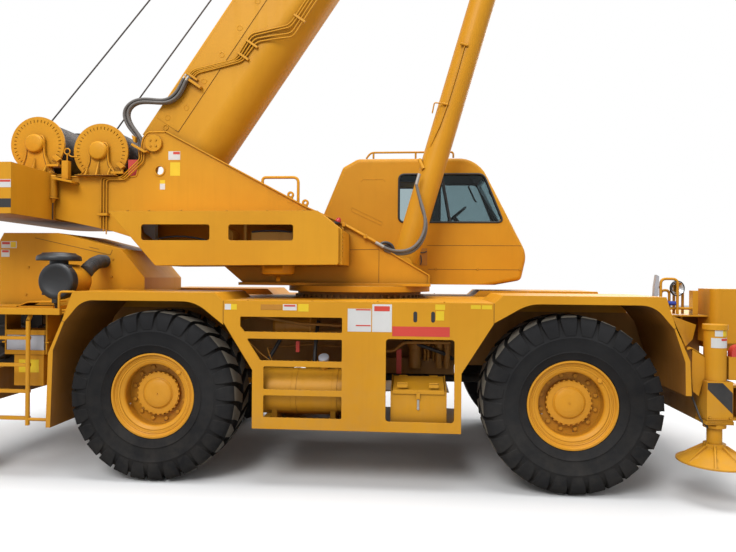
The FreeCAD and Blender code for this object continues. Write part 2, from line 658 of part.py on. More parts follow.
def outrigger(box_x, side):
    """One outrigger: its beam with an end box round the jack's sleeve, and the jack's rod with its float."""
    a, b = outrigger_lane(box_x, side)
    x = (a + b) / 2
    end = side * BEAM_END_Y
    inner = -side * 1180.0
    z0, z1 = BOX_Z - BEAM_H / 2, BOX_Z + BEAM_H / 2
    beam = box(a, b, min(inner, end), max(inner, end), z0, z1)
    near, far = sorted((side * (BOX_HALF_W + MOVE_GAP + 4), side * (BEAM_END_Y + 97)))
    end_box = box(x - 108, x + 108, near, far, z0 + 8, z1 + 90)
    base = box(x - 116, x + 116, near, far, z0 - 22, z0 + 8)
    sleeve = rod(V(x, end, z0 - 60), V(x, end, JACK_TOP), JACK_R)
    cap = rod(V(x, end, JACK_TOP - 22), V(x, end, JACK_TOP + 24), JACK_R + 10)
    bore = rod(V(x, end, z0 - 61), V(x, end, JACK_TOP - 20), JACK_ROD_R + RUN_FIT)
    body = cut(fuse([beam, end_box, base, sleeve, cap]), [bore])
    stem = rod(V(x, end, FLOAT_Z + 40), V(x, end, JACK_TOP - 60), JACK_ROD_R)
    return body, fuse([stem, float_foot(x, end)])


def outriggers():
    """All four outriggers."""
    made = {}
    for end, box_x in (("front", FRONT_BOX_X), ("rear", REAR_BOX_X)):
        for hand, side in (("left", 1), ("right", -1)):
            beam, jack = outrigger(box_x, side)
            made[f"beam_{end}_{hand}"] = beam
            made[f"jack_{end}_{hand}"] = jack
    return made


# Turret

TURRET_OUTLINE = [(-1242, TURRET_DECK_Z), (790, TURRET_DECK_Z, 30), (775, 1950), (-245, 2545), (-531, 2668),
                  (-2120, 3510, 40), (-2320, 3510, 40), (-2376, 3430), (-2441, TAIL_TOP_Z, 20),
                  (TAIL_X, TAIL_TOP_Z), (TAIL_X, 2555), (-2730, 2420), (-1447, 2038)]


def winch_stand(x, z, floor, side):
    """One flared winch stand with three ribs on its outer face and a domed bearing boss."""
    y0 = DRUM_HALF_W + MOVE_GAP
    y1 = y0 + STAND_T
    waist = z - 70
    shape = [(x - 225, floor), (x - 104, waist - 40, 150), (x - 100, z + 96, 60),
             (x + 100, z + 96, 60), (x + 104, waist - 40, 150), (x + 225, floor)]
    pieces = [side_plate(shape, y0, y1),
              box(x - 235, x + 235, y0, y1 + STAND_FOOT, floor, floor + 12)]
    for dx, top in ((-130.0, 110.0), (0.0, 190.0), (130.0, 110.0)):
        pieces.append(cross_plate([(y1 - 1, floor), (y1 + STAND_FOOT - 8, floor), (y1 - 1, floor + top)],
                                  x + dx - 8, x + dx + 8))
    pieces.append(turned([(0, 0), (104, 0), (104, 30), (84, 52), (0, 58)], V(x, y1 - 1, z), Y))
    stand = fuse(pieces)
    bored = cut(stand, [rod(V(x, 0, z), V(x, y1 + 22, z), DRUM_SHAFT_R + RUN_FIT)])
    return bored if side > 0 else mirrored(bored)


def slope_flange():
    """The narrow flange along the sloping top edge of a side plate."""
    line = [(-2120, 3510), (-531, 2668), (-245, 2545), (775, 1950), (775, TURRET_DECK_Z)]
    under = [(789, TURRET_DECK_Z), (789, 1958), (-238, 2557), (-525, 2681), (-2114, 3522)]
    return side_plate(line + under, PLATE_OUT_Y - PLATE_T, PLATE_OUT_Y + 22)


def turret_frame():
    """The two side plates joined by cross plates, with the winch stands, lift lugs and foot bearings."""
    out, wall = PLATE_OUT_Y, PLATE_T
    left = side_plate(TURRET_OUTLINE, out - wall, out)
    boss = rod(V(FOOT_X, out - wall - 80, FOOT_Z), V(FOOT_X, out - wall, FOOT_Z), 120)
    keeper = rod(V(FOOT_X, out, FOOT_Z), V(FOOT_X, out + 38, FOOT_Z), 92)
    collar = rod(V(FOOT_X + 60, out, FOOT_Z - 295), V(FOOT_X + 60, out + 8, FOOT_Z - 295), 62)
    bore = rod(V(FOOT_X, 300, FOOT_Z), V(FOOT_X, out + 18, FOOT_Z), FOOT_PIN_R + RUN_FIT)
    hole = rod(V(FOOT_X + 60, 300, FOOT_Z - 295), V(FOOT_X + 60, 600, FOOT_Z - 295), 46)
    left = cut(fuse([left, boss, keeper, collar, slope_flange()]), [bore, hole])
    half = out - wall
    cross = [
        box(-1242, 780, -half, half, TURRET_DECK_Z, TURRET_DECK_Z + 20),
        box(770, 790, -half, half, TURRET_DECK_Z, 1920),
        box(-2300, -2270, -half, half, 2310, WINCH_FLOOR_Z),
        box(TAIL_X, -2270, -half, half, WINCH_FLOOR_Z - 20, WINCH_FLOOR_Z),
        box(TAIL_X, TAIL_X + 24, -half, half, 2560, WINCH_FLOOR_Z),
        box(TAIL_X, TAIL_X + 80, -half, half, WINCH_FLOOR_Z, WEIGHT_TOP),
        box(WINCH_REAR_X, TAIL_X + 80, -half, half, WEIGHT_TOP, WEIGHT_TOP + 8),
    ]
    stands = [winch_stand(x, z, floor, side)
              for (x, z), floor in zip(DRUMS.values(), (WEIGHT_TOP, TAIL_TOP_Z)) for side in (-1, 1)]
    return fuse([left, mirrored(left)] + cross + stands + lift_lugs())


def turret_base():
    """The slewing table: round skirt on the ring, and the flat plate under the side plates."""
    skirt = rod(V(0, 0, TURRET_BASE_Z), V(0, 0, 1836), 730)
    plate = box(-1242, 797, -600, CAB_IN_Y - 10, 1835, TURRET_DECK_Z)
    return fuse([skirt, plate])


def counterweight():
    """The counterweight block behind the tail."""
    half = WEIGHT_HALF_W
    corner = 260.0
    outline = [(TAIL_X, -half), (TAIL_X, half), (WEIGHT_REAR_X, half, corner), (WEIGHT_REAR_X, -half, corner)]
    return flat_plate(outline, WEIGHT_BOTTOM, WEIGHT_TOP)


def drum(name):
    """One winch drum: barrel and shaft between flanges with a raised rim and a ring of notches."""
    x, z = DRUMS[name]
    w, t = DRUM_HALF_W, 24.0
    body = turned([(0, -w), (DRUM_R, -w), (DRUM_R, -w + t), (245, -w + t), (245, w - t), (DRUM_R, w - t),
                   (DRUM_R, w), (0, w)], V(x, 0, z), Y)
    shaft = rod(V(x, -w - MOVE_GAP - STAND_T - 20, z), V(x, w + MOVE_GAP + STAND_T + 20, z), DRUM_SHAFT_R)
    notches = []
    for i in range(DRUM_NOTCHES):
        notch = box(DRUM_R - 66, DRUM_R - 36, -w - 1, -w + 9, -4, 4)
        notch.rotate(V(0, 0, 0), Y, 360.0 / DRUM_NOTCHES * i)
        notches += [moved(notch, x, 0, z), moved(mirrored(notch), x, 0, z)]
    return cut(fuse([body, shaft]), notches)


def valve_box():
    """The hollow cover on the turret's right side, with two long slots, a bent front and a motor under it."""
    y0, y1 = -VALVE_OUT_Y, -PLATE_OUT_Y
    outline = [(-2390, 2560), (-1908, 2026, 30), (-100, 2046, 20), (-100, 2400), (-305, 2565)]
    body = side_plate(outline, y0, y1)
    inner = side_plate([(-2362, 2548), (-1902, 2038), (-112, 2058), (-112, 2395), (-309, 2553)],
                       y0 + VALVE_WALL, y1 + 1)
    slots = [side_plate([(a, 2275, 25), (b, 2275, 25), (b, 2430, 25), (a, 2430, 25)],
                        y0 - 1, y0 + 2 * VALVE_WALL) for a, b in ((-2054, -1366), (-1178, -540))]
    front = side_plate([(-100, 2046), (-70, 2046), (-70, 2385), (-100, 2400)], y0 + 60, y1)
    motor = turned([(0, 0), (22, 0), (22, 60), (150, 66), (165, 90), (165, 170), (0, 170)],
                   V(-760, -830, 1878), Z)
    return fuse([cut(body, [inner] + slots), front, motor])


# Cab

CAB_OUTLINE = [(-560, CAB_FLOOR_Z), (-560, 2560), (-264, 3281, 60), (-80, 3384, 120), (1383, 3386, 380),
               (1978, 2222, 300), (1908, 1905, 70), (1599, CAB_FLOOR_Z)]
CAB_INNER = [(-515, 1896), (-515, 2540), (-235, 3240, 60), (-70, 3334, 90), (1378, 3334, 330),
             (1905, 2203, 200), (1862, 1965), (1590, 1896)]
SIDE_WINDOW = [(430, 2602, 60), (1690, 2602, 60), (1450, 3186, 80), (430, 3186, 60)]
LEFT_WINDOW = [(960, 2602, 60), (1690, 2602, 60), (1450, 3186, 80), (960, 3186, 60)]


def cab_openings():
    """Cuts for the right window, roof window, windscreen, rear window and the doorway."""
    right = side_plate(SIDE_WINDOW, CAB_IN_Y - 10, CAB_IN_Y + CAB_WALL + 10)
    left = side_plate(LEFT_WINDOW, CAB_OUT_Y - CAB_WALL - 10, CAB_OUT_Y + 10)
    roof = box(450, 1050, CAB_IN_Y + 150, CAB_OUT_Y - 150, 3300, 3400)
    screen = box(1400, 2100, CAB_IN_Y + 80, CAB_OUT_Y - 80, 2400, 3150)
    rear = box(-600, -300, CAB_IN_Y + 150, CAB_OUT_Y - 150, 2700, 3100)
    door = box(DOOR_X0, DOOR_X1, CAB_OUT_Y - CAB_WALL - 10, CAB_OUT_Y + 10, 1950, 3230)
    return [right, left, roof, screen, rear, door]


def cab_shell():
    """The hollow cab with round edges, window and door openings, and rails for its sliding door."""
    shell = side_plate(CAB_OUTLINE, CAB_IN_Y, CAB_OUT_Y)
    rim = [edge for edge in shell.Edges
           if edge.BoundBox.YLength < 1 and edge.BoundBox.ZMax > CAB_FLOOR_Z + 5]
    shell = shell.makeFillet(CAB_EDGE_R, rim)
    inner = side_plate(CAB_INNER, CAB_IN_Y + CAB_WALL, CAB_OUT_Y - CAB_WALL)
    rails = [box(DOOR_X0 - DOOR_TRAVEL - 50, DOOR_X1 + 50, CAB_OUT_Y - CAB_WALL, DOOR_Y + DOOR_T + 6,
                 DOOR_Z0 - SEAT_GAP - 30, DOOR_Z0 - SEAT_GAP),
             box(DOOR_X0 - 200, DOOR_X1 + 40, CAB_OUT_Y - CAB_WALL, DOOR_Y + DOOR_T + 6,
                 DOOR_Z1 + SEAT_GAP, DOOR_Z1 + SEAT_GAP + 24)]
    return fuse([cut(shell, [inner] + cab_openings())] + rails)


def cab_feet():
    """The shelf that carries the cab beside the turret."""
    return box(-540, 780, PLATE_OUT_Y, CAB_OUT_Y - 60, CAB_FLOOR_Z - 40, CAB_FLOOR_Z)


def cab_glass():
    """Window panes set in the cab's right, left, roof, front and rear openings."""
    panes = []
    for points, y in ((SIDE_WINDOW, CAB_IN_Y + CAB_WALL / 2), (LEFT_WINDOW, CAB_OUT_Y - CAB_WALL / 2)):
        panes.append(side_plate(points, y - GLASS_T / 2, y + GLASS_T / 2))
    top_x, low_x = 1500.0, 1850.0
    panes.append(side_plate([(top_x, 3150), (low_x, 2400), (low_x - GLASS_T, 2400), (top_x - GLASS_T, 3150)],
                            CAB_IN_Y + 80, CAB_OUT_Y - 80))
    panes.append(box(450, 1050, CAB_IN_Y + 150, CAB_OUT_Y - 150, 3350, 3350 + GLASS_T))
    return Part.makeCompound(panes)


def cab_door():
    """The sliding door on the cab's left side, with its window opening."""
    plate = box(DOOR_X0 - 30, DOOR_X1 + 30, DOOR_Y, DOOR_Y + DOOR_T, DOOR_Z0, DOOR_Z1)
    corner = 50.0
    x0, x1 = DOOR_X0 + 60, DOOR_X1 - 60
    window = side_plate([(x0, 2500, corner), (x1, 2500, corner), (x1, 3150, corner), (x0, 3150, corner)],
                        DOOR_Y - 1, DOOR_Y + DOOR_T + 1)
    return cut(plate, [window])


def cab_seat():
    """The driver's seat on its base."""
    base = box(250, 650, 760, 1100, 1896, 2250)
    cushion = box(220, 720, 700, 1160, 2250, 2370)
    back = side_plate([(220, 2370), (340, 2370), (240, 3000), (120, 3000)], 700, 1160)
    return fuse([base, cushion, back])


# Boom. Each piece is made lying along +X with the foot pin at the origin, and then raised to its angle.

def raised(shape):
    """The shape turned up to the boom's angle about the foot pin."""
    copy = shape.copy()
    copy.rotate(V(0, 0, 0), Y, -BOOM_ANGLE)
    copy.translate(V(FOOT_X, 0, FOOT_Z))
    return copy


def tube_outline(depth, width, top):
    """A boom section: flat top, straight sides and a rounded belly."""
    half = width / 2
    return [(-half, top, 30), (half, top, 30), (half, top - depth, half * 0.92),
            (-half, top - depth, half * 0.92)]


def boom_tube(index):
    """One hollow boom tube."""
    name, depth, width, start, end = TUBES[index]
    base_depth = TUBES[0][1]
    top = ABOVE_PIN - (base_depth - depth) / 2
    outer = cross_plate(tube_outline(depth, width, top), start, end)
    inner = cross_plate(tube_outline(depth - 2 * TUBE_WALL, width - 2 * TUBE_WALL, top - TUBE_WALL),
                        start - 1, end + 1)
    return cut(outer, [inner])


def wear_collar(index):
    """The collar at a tube's mouth that carries the next tube."""
    name, depth, width, start, end = TUBES[index]
    top = ABOVE_PIN - (TUBES[0][1] - depth) / 2
    collar = cross_plate(tube_outline(depth, width, top), end - 160, end)
    gap = (depth - TUBES[index + 1][1]) / 2 - SEAT_GAP
    hole = cross_plate(tube_outline(depth - 2 * gap, width - 2 * gap, top - gap), end - 170, end + 10)
    return cut(collar, [hole])


def boom_base():
    """The base tube, with its foot cheeks, pin and the lift cylinder's lugs."""
    depth, width = TUBES[0][1], TUBES[0][2]
    half = width / 2
    tube = boom_tube(0)
    trim = side_plate([(-400, ABOVE_PIN + 1), (-400, -depth), (300, -depth), (0, -ABOVE_PIN + 10),
                       (0, ABOVE_PIN + 1)], -half - 1, half + 1)
    tube = cut(tube, [trim])
    cheek = side_plate([(-120, ABOVE_PIN - 30, 120), (-240, 0, 110), (-150, -200, 100), (0, -240), (150, -340),
                        (500, -340), (500, ABOVE_PIN - 31), (0, ABOVE_PIN - 31)], half - 40, half)
    foot_plate = box(0, 40, -half + 30, half - 30, -ABOVE_PIN + 20, ABOVE_PIN - 12)
    pin = rod(V(0, -half - 135, 0), V(0, half + 135, 0), FOOT_PIN_R)
    lug = side_plate([(LIFT_EYE_S - 185, -depth + ABOVE_PIN + 30), (LIFT_EYE_S - 110, LIFT_EYE_T - 110, 90),
                      (LIFT_EYE_S + 110, LIFT_EYE_T - 110, 100), (LIFT_EYE_S + 300, -depth + ABOVE_PIN + 30)],
                     115, 150)
    lift_pin = rod(V(LIFT_EYE_S, -165, LIFT_EYE_T), V(LIFT_EYE_S, 165, LIFT_EYE_T), LIFT_PIN_R)
    return raised(fuse([tube, wear_collar(0), cheek, mirrored(cheek), foot_plate, pin, lug, mirrored(lug),
                        lift_pin]))


def boom_middle(index):
    """The second or third tube, with its collar."""
    return raised(fuse([boom_tube(index), wear_collar(index)]))


def boom_fly():
    """The last tube with the head: two side plates that carry the head sheaves and the idler."""
    name, depth, width, start, end = TUBES[3]
    half = width / 2
    top = ABOVE_PIN - (TUBES[0][1] - depth) / 2
    reach = SHEAVE_R + 30
    head = side_plate([(end - 220, top - 40), (end - 220, top - depth + 40), (end + 60, HEAD_T - 60, 60),
                       (BOOM_LENGTH - 120, HEAD_T - reach * 0.6, 120),
                       (BOOM_LENGTH + reach * 0.6, HEAD_T - reach * 0.6, 120),
                       (BOOM_LENGTH + reach * 0.6, HEAD_T + 200, 120),
                       (IDLER_S + 120, IDLER_T + 60, 80), (IDLER_S - 120, IDLER_T + 60, 80)],
                      half, half + 26)
    nose = box(end - 10, end + 20, -half, half, top - depth, top)
    bars = [rod(V(s, -half - 50, t), V(s, half + 50, t), 45)
            for s, t in ((BOOM_LENGTH, HEAD_T), (IDLER_S, IDLER_T))]
    return raised(fuse([boom_tube(3), nose, head, mirrored(head)] + bars))


def sheave(s, y, t):
    """One grooved rope wheel on its bar."""
    half = SHEAVE_T / 2
    profile = [(45 + SEAT_GAP, -half), (SHEAVE_R, -half), (SHEAVE_R - 26, 0), (SHEAVE_R, half),
               (45 + SEAT_GAP, half)]
    return turned(profile, V(s, y, t), Y)


def head_sheaves():
    """The rope wheels in the boom head: three below and one idler on top."""
    lower = [sheave(BOOM_LENGTH, y, HEAD_T) for y in HEAD_SPACING]
    return raised(Part.makeCompound(lower + [sheave(IDLER_S, 0.0, IDLER_T)]))


def head_place():
    """The head sheaves' axle in the crane's side view."""
    angle = math.radians(BOOM_ANGLE)
    c, s = math.cos(angle), math.sin(angle)
    return V(FOOT_X + BOOM_LENGTH * c - HEAD_T * s, 0, FOOT_Z + BOOM_LENGTH * s + HEAD_T * c)


def hook_shape(x, z):
    """The hook in outline: a thick open ring under its shank, pointed at the lip."""
    outer, inner = 150.0, 72.0
    bowl = turned([(inner, -34), (outer, -34), (outer, 34), (inner, 34)], V(x, 0, z), Y)
    gap = side_plate([(x, z), (x + 260, z - 20), (x + 260, z + 190), (x, z + 190)], -60, 60)
    neck = rod(V(x, 0, z + inner + 20), V(x, 0, z + 260), 36)
    return fuse([cut(bowl, [gap]), neck])


def hook_block():
    """The hook block hanging from the head sheaves: cheeks, sheaves, crosshead, hook and its rope falls."""
    head = head_place()
    x, low = head.x, head.z - HOOK_DROP
    r = HOOK_PLATE_R
    gap = HEAD_SPACING[-1] + SHEAVE_T / 2 + 10
    cheeks = [side_plate([(x - r, low - 180, 80), (x - r, low + r, 120), (x + r, low + r, 120),
                          (x + r, low - 180, 80)], y, y + 26) for y in (-gap - 26, gap)]
    bar = rod(V(x, -gap - 40, low), V(x, gap + 40, low), 40)
    cross = box(x - 60, x + 60, -gap - 1, gap + 1, low - 175, low - 165 + 60)
    upper, lower = SHEAVE_R - 26 + FALL_RISE, HOOK_SHEAVE_R - 14
    lean = math.asin((upper - lower) / HOOK_DROP)
    pieces = cheeks + [bar, cross, hook_shape(x, low - 400)]
    for y in HEAD_SPACING:
        pieces.append(turned([(20, -SHEAVE_T / 2), (HOOK_SHEAVE_R, -SHEAVE_T / 2), (HOOK_SHEAVE_R - 22, 0),
                              (HOOK_SHEAVE_R, SHEAVE_T / 2), (20, SHEAVE_T / 2)], V(x, y, low), Y))
        for side in (-1, 1):
            start = V(x + side * upper * math.cos(lean), y, head.z - upper * math.sin(lean))
            end = V(x + side * lower * math.cos(lean), y, low - lower * math.sin(lean))
            pieces.append(rod(start, end, ROPE_R))
    return fuse(pieces)


def lift_points():
    """The cylinder's base pin, its rod's eye, and the unit vector between them."""
    angle = math.radians(BOOM_ANGLE)
    c, s = math.cos(angle), math.sin(angle)
    base = V(LIFT_BASE_X, 0, LIFT_BASE_Z)
    eye = V(FOOT_X + LIFT_EYE_S * c - LIFT_EYE_T * s, 0, FOOT_Z + LIFT_EYE_S * s + LIFT_EYE_T * c)
    return base, eye, (eye - base).normalize()


def lift_barrel():
    """The lift cylinder's barrel with its base eye."""
    base, eye, along = lift_points()
    eye_ring = rod(base - Y * 140, base + Y * 140, 105)
    barrel = rod(base + along * 60, base + along * BARREL_L, BARREL_R)
    gland = rod(base + along * (BARREL_L - 120), base + along * (BARREL_L + 10), BARREL_R + 14)
    bore = rod(base + along * 120, base + along * (BARREL_L + 20), LIFT_ROD_R + RUN_FIT)
    return cut(fuse([eye_ring, barrel, gland]), [bore])


def lift_rod():
    """The lift cylinder's rod with its eye on the boom's pin."""
    base, eye, along = lift_points()
    stem = rod(base + along * 2820, eye - along * 60, LIFT_ROD_R)
    ring = rod(eye - Y * 100, eye + Y * 100, 100)
    bore = rod(eye - Y * 110, eye + Y * 110, LIFT_PIN_R + RUN_FIT)
    return cut(fuse([stem, ring]), [bore])


def lift_lugs():
    """The turret's lugs for the cylinder's base, part of the turret's frame."""
    shape = [(LIFT_BASE_X - 220, TURRET_DECK_Z + 10), (LIFT_BASE_X - 70, LIFT_BASE_Z + 90, 70),
             (LIFT_BASE_X + 70, LIFT_BASE_Z + 90, 70), (LIFT_BASE_X + 220, TURRET_DECK_Z + 10)]
    left = side_plate(shape, 160, 200)
    return [left, mirrored(left)]


def all_nodes():
    """Every piece by its node's name, placed from the slewing axis."""
    nodes = {
        "chassis": chassis(), "outrigger_boxes": outrigger_boxes(),
        "front_fenders": front_fenders(), "rear_fenders": rear_fenders(),
        "side_panels": side_panels(), "deck": deck(), "rear_deck": rear_deck(), "hood": hood(),
        "powertrain": powertrain(), "air_cleaner": air_cleaner(), "muffler": muffler(), "tanks": tanks(),
        "tool_box": tool_box(), "tool_lid": tool_lid(),
        "battery_box": battery_box(), "ladders": ladders(), "front_end": front_end(), "lamps": lamps(),
        "turret_frame": turret_frame(), "turret_base": fuse([turret_base(), cab_feet()]),
        "counterweight": counterweight(), "drum_main": drum("main"), "drum_aux": drum("aux"),
        "valve_box": valve_box(), "cab_shell": cab_shell(), "cab_glass": cab_glass(), "cab_door": cab_door(),
        "cab_seat": cab_seat(), "boom_base": boom_base(), "boom_second": boom_middle(1),
        "boom_third": boom_middle(2), "boom_fly": boom_fly(), "head_sheaves": head_sheaves(),
        "hook_block": hook_block(), "lift_barrel": lift_barrel(), "lift_rod": lift_rod(),
    }
    nodes.update(wheels())
    nodes.update(outriggers())
    return nodes


# The origin is under the middle of the whole machine: halfway between the counterweight and the head sheaves.
FRONT_REACH = head_place().x + SHEAVE_R
MID_X = (FRONT_REACH + WEIGHT_REAR_X) / 2

NODES = {name: moved(shape, -MID_X) for name, shape in all_nodes().items()}
for name, shape in NODES.items():
    shape.exportStep(f"parts/{name}.step")
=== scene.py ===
# %% [markdown]
# # Dressing a rough-terrain crane
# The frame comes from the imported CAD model: every solid has its real place and rides on the body that moves it.
# This lesson gives each surface its finish and adds what is too fine for the solids: bolts, hoses, ropes, seals,
# rails, stripes and blank plates. Lengths are metres, +X is the front of the carrier and +Z is up.

# %% Load the frame
import bpy, bmesh, json, math
from mathutils import Matrix, Vector

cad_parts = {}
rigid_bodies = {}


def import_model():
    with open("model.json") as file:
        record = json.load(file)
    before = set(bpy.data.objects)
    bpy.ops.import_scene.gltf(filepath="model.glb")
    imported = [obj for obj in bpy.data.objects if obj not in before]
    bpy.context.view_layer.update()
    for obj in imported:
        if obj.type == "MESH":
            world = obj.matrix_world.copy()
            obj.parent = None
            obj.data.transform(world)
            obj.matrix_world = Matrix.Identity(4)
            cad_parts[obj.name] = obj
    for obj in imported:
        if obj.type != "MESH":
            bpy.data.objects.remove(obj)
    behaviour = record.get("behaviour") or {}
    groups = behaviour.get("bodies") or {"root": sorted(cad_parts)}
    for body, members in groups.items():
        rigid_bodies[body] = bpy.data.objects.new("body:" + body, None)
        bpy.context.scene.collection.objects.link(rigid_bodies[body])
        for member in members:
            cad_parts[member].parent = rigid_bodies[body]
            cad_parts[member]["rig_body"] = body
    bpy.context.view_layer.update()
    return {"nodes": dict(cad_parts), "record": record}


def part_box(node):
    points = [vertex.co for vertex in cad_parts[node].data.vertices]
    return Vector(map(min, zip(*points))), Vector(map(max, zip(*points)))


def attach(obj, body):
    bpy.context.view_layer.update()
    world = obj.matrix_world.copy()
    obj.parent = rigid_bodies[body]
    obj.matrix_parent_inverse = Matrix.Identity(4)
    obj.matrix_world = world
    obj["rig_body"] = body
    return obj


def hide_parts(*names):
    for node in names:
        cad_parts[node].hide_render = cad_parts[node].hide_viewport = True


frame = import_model()

# %% [markdown]
# ## Places
# The drawing measures from the slewing axis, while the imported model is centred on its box. One shift, read from the
# front wheel, joins the two. A second helper speaks in the boom's own terms: how far along it from the foot pin, how
# far to the left, and how far out from the pin's line.

# %% Places on the carrier and on the boom
FRONT_AXLE, REAR_AXLE, HALF_TRACK, AXLE_Z = 2.04, -1.81, 1.19, 0.8
BOOM_ANGLE, FOOT_X, FOOT_Z = math.radians(55.6), -2.24, 3.38
PANEL, PLATE, HOOD, TOOL_BOX = 1.490, 0.450, 0.520, 1.400  # how far out from the middle these faces stand
CAB_RIGHT, CAB_LEFT = 0.480, 1.330
HANDS = (("right", -1), ("left", 1))
WHEEL_PLACES = {f"{end}_{hand}": (x, side) for end, x in (("front", FRONT_AXLE), ("rear", REAR_AXLE)) for hand,
                side in HANDS}
DRUM_PLACES = {"main": (-3.619, 3.392), "aux": (-2.878, 3.306)}
OUT_RIGHT, OUT_LEFT, AHEAD, UP = Vector((0, -1, 0)), Vector((0, 1, 0)), Vector((1, 0, 0)), Vector((0, 0, 1))
wheel_low, wheel_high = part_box("tyre_front_right")
SHIFT = (wheel_low.x + wheel_high.x) / 2 - FRONT_AXLE


def at(x, y, z):
    return Vector((x + SHIFT, y, z))


def sheet(y, *corners):
    """Places in one upright plane, from their x and z."""
    return [at(x, y, z) for x, z in corners]


def places(lines):
    """Lists of places, from lists of x, y and z."""
    return [[at(*p) for p in line] for line in lines]


def on_boom(along, left, out):
    c, s = math.cos(BOOM_ANGLE), math.sin(BOOM_ANGLE)
    return at(FOOT_X + along * c - out * s, left, FOOT_Z + along * s + out * c)


print("shift", round(SHIFT, 4), "boom head", on_boom(11.0, 0, -0.64))

# %% [markdown]
# ## Camera
# The photograph was taken from about head height, seven metres off the right side, with a phone's wide lens. The
# camera was solved from the wheels, so its place, its small turn and its roll are numbers, not guesses.

# %% Make the camera
TURN, ROLL = math.radians(4.44), 0.0079
SENSOR, PHOTO_WIDTH, FOCAL_LENGTH = 36.0, 736, 610  # the last two in pixels
right = Vector((math.cos(TURN), math.sin(TURN), 0))
ahead = Vector((-math.sin(TURN), math.cos(TURN), 0))
camera_right = right * math.cos(ROLL) + UP * math.sin(ROLL)
camera_up = UP * math.cos(ROLL) - right * math.sin(ROLL)
camera_data = bpy.data.cameras.new("photo_camera")
camera_data.sensor_width = SENSOR
camera_data.lens = SENSOR * FOCAL_LENGTH / PHOTO_WIDTH
camera_data.shift_y = 1 / PHOTO_WIDTH
camera = bpy.data.objects.new("photo_camera", camera_data)
turned = Matrix((camera_right, camera_up, -ahead)).transposed().to_4x4()
camera.matrix_world = Matrix.Translation(at(0.638, -6.975, 1.93)) @ turned
bpy.context.scene.collection.objects.link(camera)
bpy.context.scene.camera = camera
print("lens", round(camera_data.lens, 2))

# %% [markdown]
# ## Surface effects shared by the finishes
# Paint, rubber and steel all gather the same things: slow changes of tone, dust that settles low down and rubbed edges;
# the group also paints shade into creases and onto faces that look down. A node group holds each effect once. The
# rounded normal comes from the Bevel node, so the sharp corners of the solids catch the light as folded plate does,
# without any change to their meshes.

# %% Node helpers
def new_group(name, inputs, outputs):
    tree = bpy.data.node_groups.new(name, "ShaderNodeTree")
    for label, kind, value in inputs:
        socket = tree.interface.new_socket(label, in_out="INPUT", socket_type=kind)
        socket.default_value = value
    for label, kind in outputs:
        tree.interface.new_socket(label, in_out="OUTPUT", socket_type=kind)
    return tree, tree.nodes.new("NodeGroupInput"), tree.nodes.new("NodeGroupOutput")


def node(tree, kind, settings=None, **inputs):
    made = tree.nodes.new(kind)
    for key, value in (settings or {}).items():
        setattr(made, key, value)
    for key, value in inputs.items():
        numbered = key[0] == "_" and key[1:].isdigit()
        socket = made.inputs[int(key[1:])] if numbered else made.inputs[key.replace("_", " ")]
        if isinstance(value, bpy.types.NodeSocket):
            tree.links.new(value, socket)
        else:
            socket.default_value = value
    return made


def math_node(tree, operation, a, b=0.0, clamp=False):
    return node(tree, "ShaderNodeMath", {"operation": operation, "use_clamp": clamp}, _0=a, _1=b).outputs[0]


def mix_colour(tree, factor, a, b, blend="MIX"):
    made = tree.nodes.new("ShaderNodeMix")
    made.data_type, made.blend_type = "RGBA", blend
    for index, value in ((0, factor), (6, a), (7, b)):
        if isinstance(value, bpy.types.NodeSocket):
            tree.links.new(value, made.inputs[index])
        else:
            made.inputs[index].default_value = value
    return made.outputs[2]


def spread(tree, value, low, high, to_low=0.0, to_high=1.0):
    made = node(tree, "ShaderNodeMapRange", {"clamp": True}, _0=value, _1=low, _2=high, _3=to_low, _4=to_high)
    return made.outputs[0]


# %% The weather_and_shade group: weathering and painted shade
weather_and_shade, feed, result = new_group(
    "weather_and_shade",
    [("Scale", "NodeSocketFloat", 1.0), ("Wear", "NodeSocketFloat", 0.5), ("Edge", "NodeSocketFloat", 0.006)],
    [("Tone", "NodeSocketFloat"), ("Worn", "NodeSocketFloat"), ("Dust", "NodeSocketFloat"),
     ("Streak", "NodeSocketFloat"), ("Grain", "NodeSocketFloat"), ("Grime", "NodeSocketFloat"),
     ("Rounded", "NodeSocketVector")])
place = node(weather_and_shade, "ShaderNodeTexCoord").outputs["Object"]
slow = node(weather_and_shade, "ShaderNodeTexNoise", Vector=place, Scale=0.9, Detail=4.0, Roughness=0.6).outputs["Fac"]
rough_patch = node(weather_and_shade, "ShaderNodeTexNoise", Vector=place, Scale=7.0, Detail=5.0, Roughness=0.65).outputs["Fac"]
fine = node(weather_and_shade, "ShaderNodeTexNoise", Vector=place, Scale=260.0, Detail=2.0).outputs["Fac"]
tall = node(weather_and_shade, "ShaderNodeMapping", Vector=place, Scale=(9.0, 9.0, 0.55)).outputs[0]
runs = node(weather_and_shade, "ShaderNodeTexNoise", Vector=tall, Scale=1.0, Detail=5.0, Roughness=0.7).outputs["Fac"]
rounded = node(weather_and_shade, "ShaderNodeBevel", {"samples": 4}, Radius=feed.outputs["Edge"]).outputs[0]
facing = node(weather_and_shade, "ShaderNodeNewGeometry").outputs["Normal"]
turned_by = node(weather_and_shade, "ShaderNodeVectorMath", {"operation": "DOT_PRODUCT"}, _0=rounded,
                 _1=facing).outputs["Value"]
edge = spread(weather_and_shade, turned_by, 0.985, 0.88)
rubbed = spread(weather_and_shade, rough_patch, 0.56, 0.66)
worn = math_node(weather_and_shade, "MULTIPLY", math_node(weather_and_shade, "MULTIPLY", edge, rubbed), feed.outputs["Wear"], True)
height = node(weather_and_shade, "ShaderNodeSeparateXYZ", _0=place).outputs["Z"]
low_down = spread(weather_and_shade, height, 1.5, 0.15)
dust = math_node(weather_and_shade, "MULTIPLY", low_down, spread(weather_and_shade, rough_patch, 0.35, 0.75))
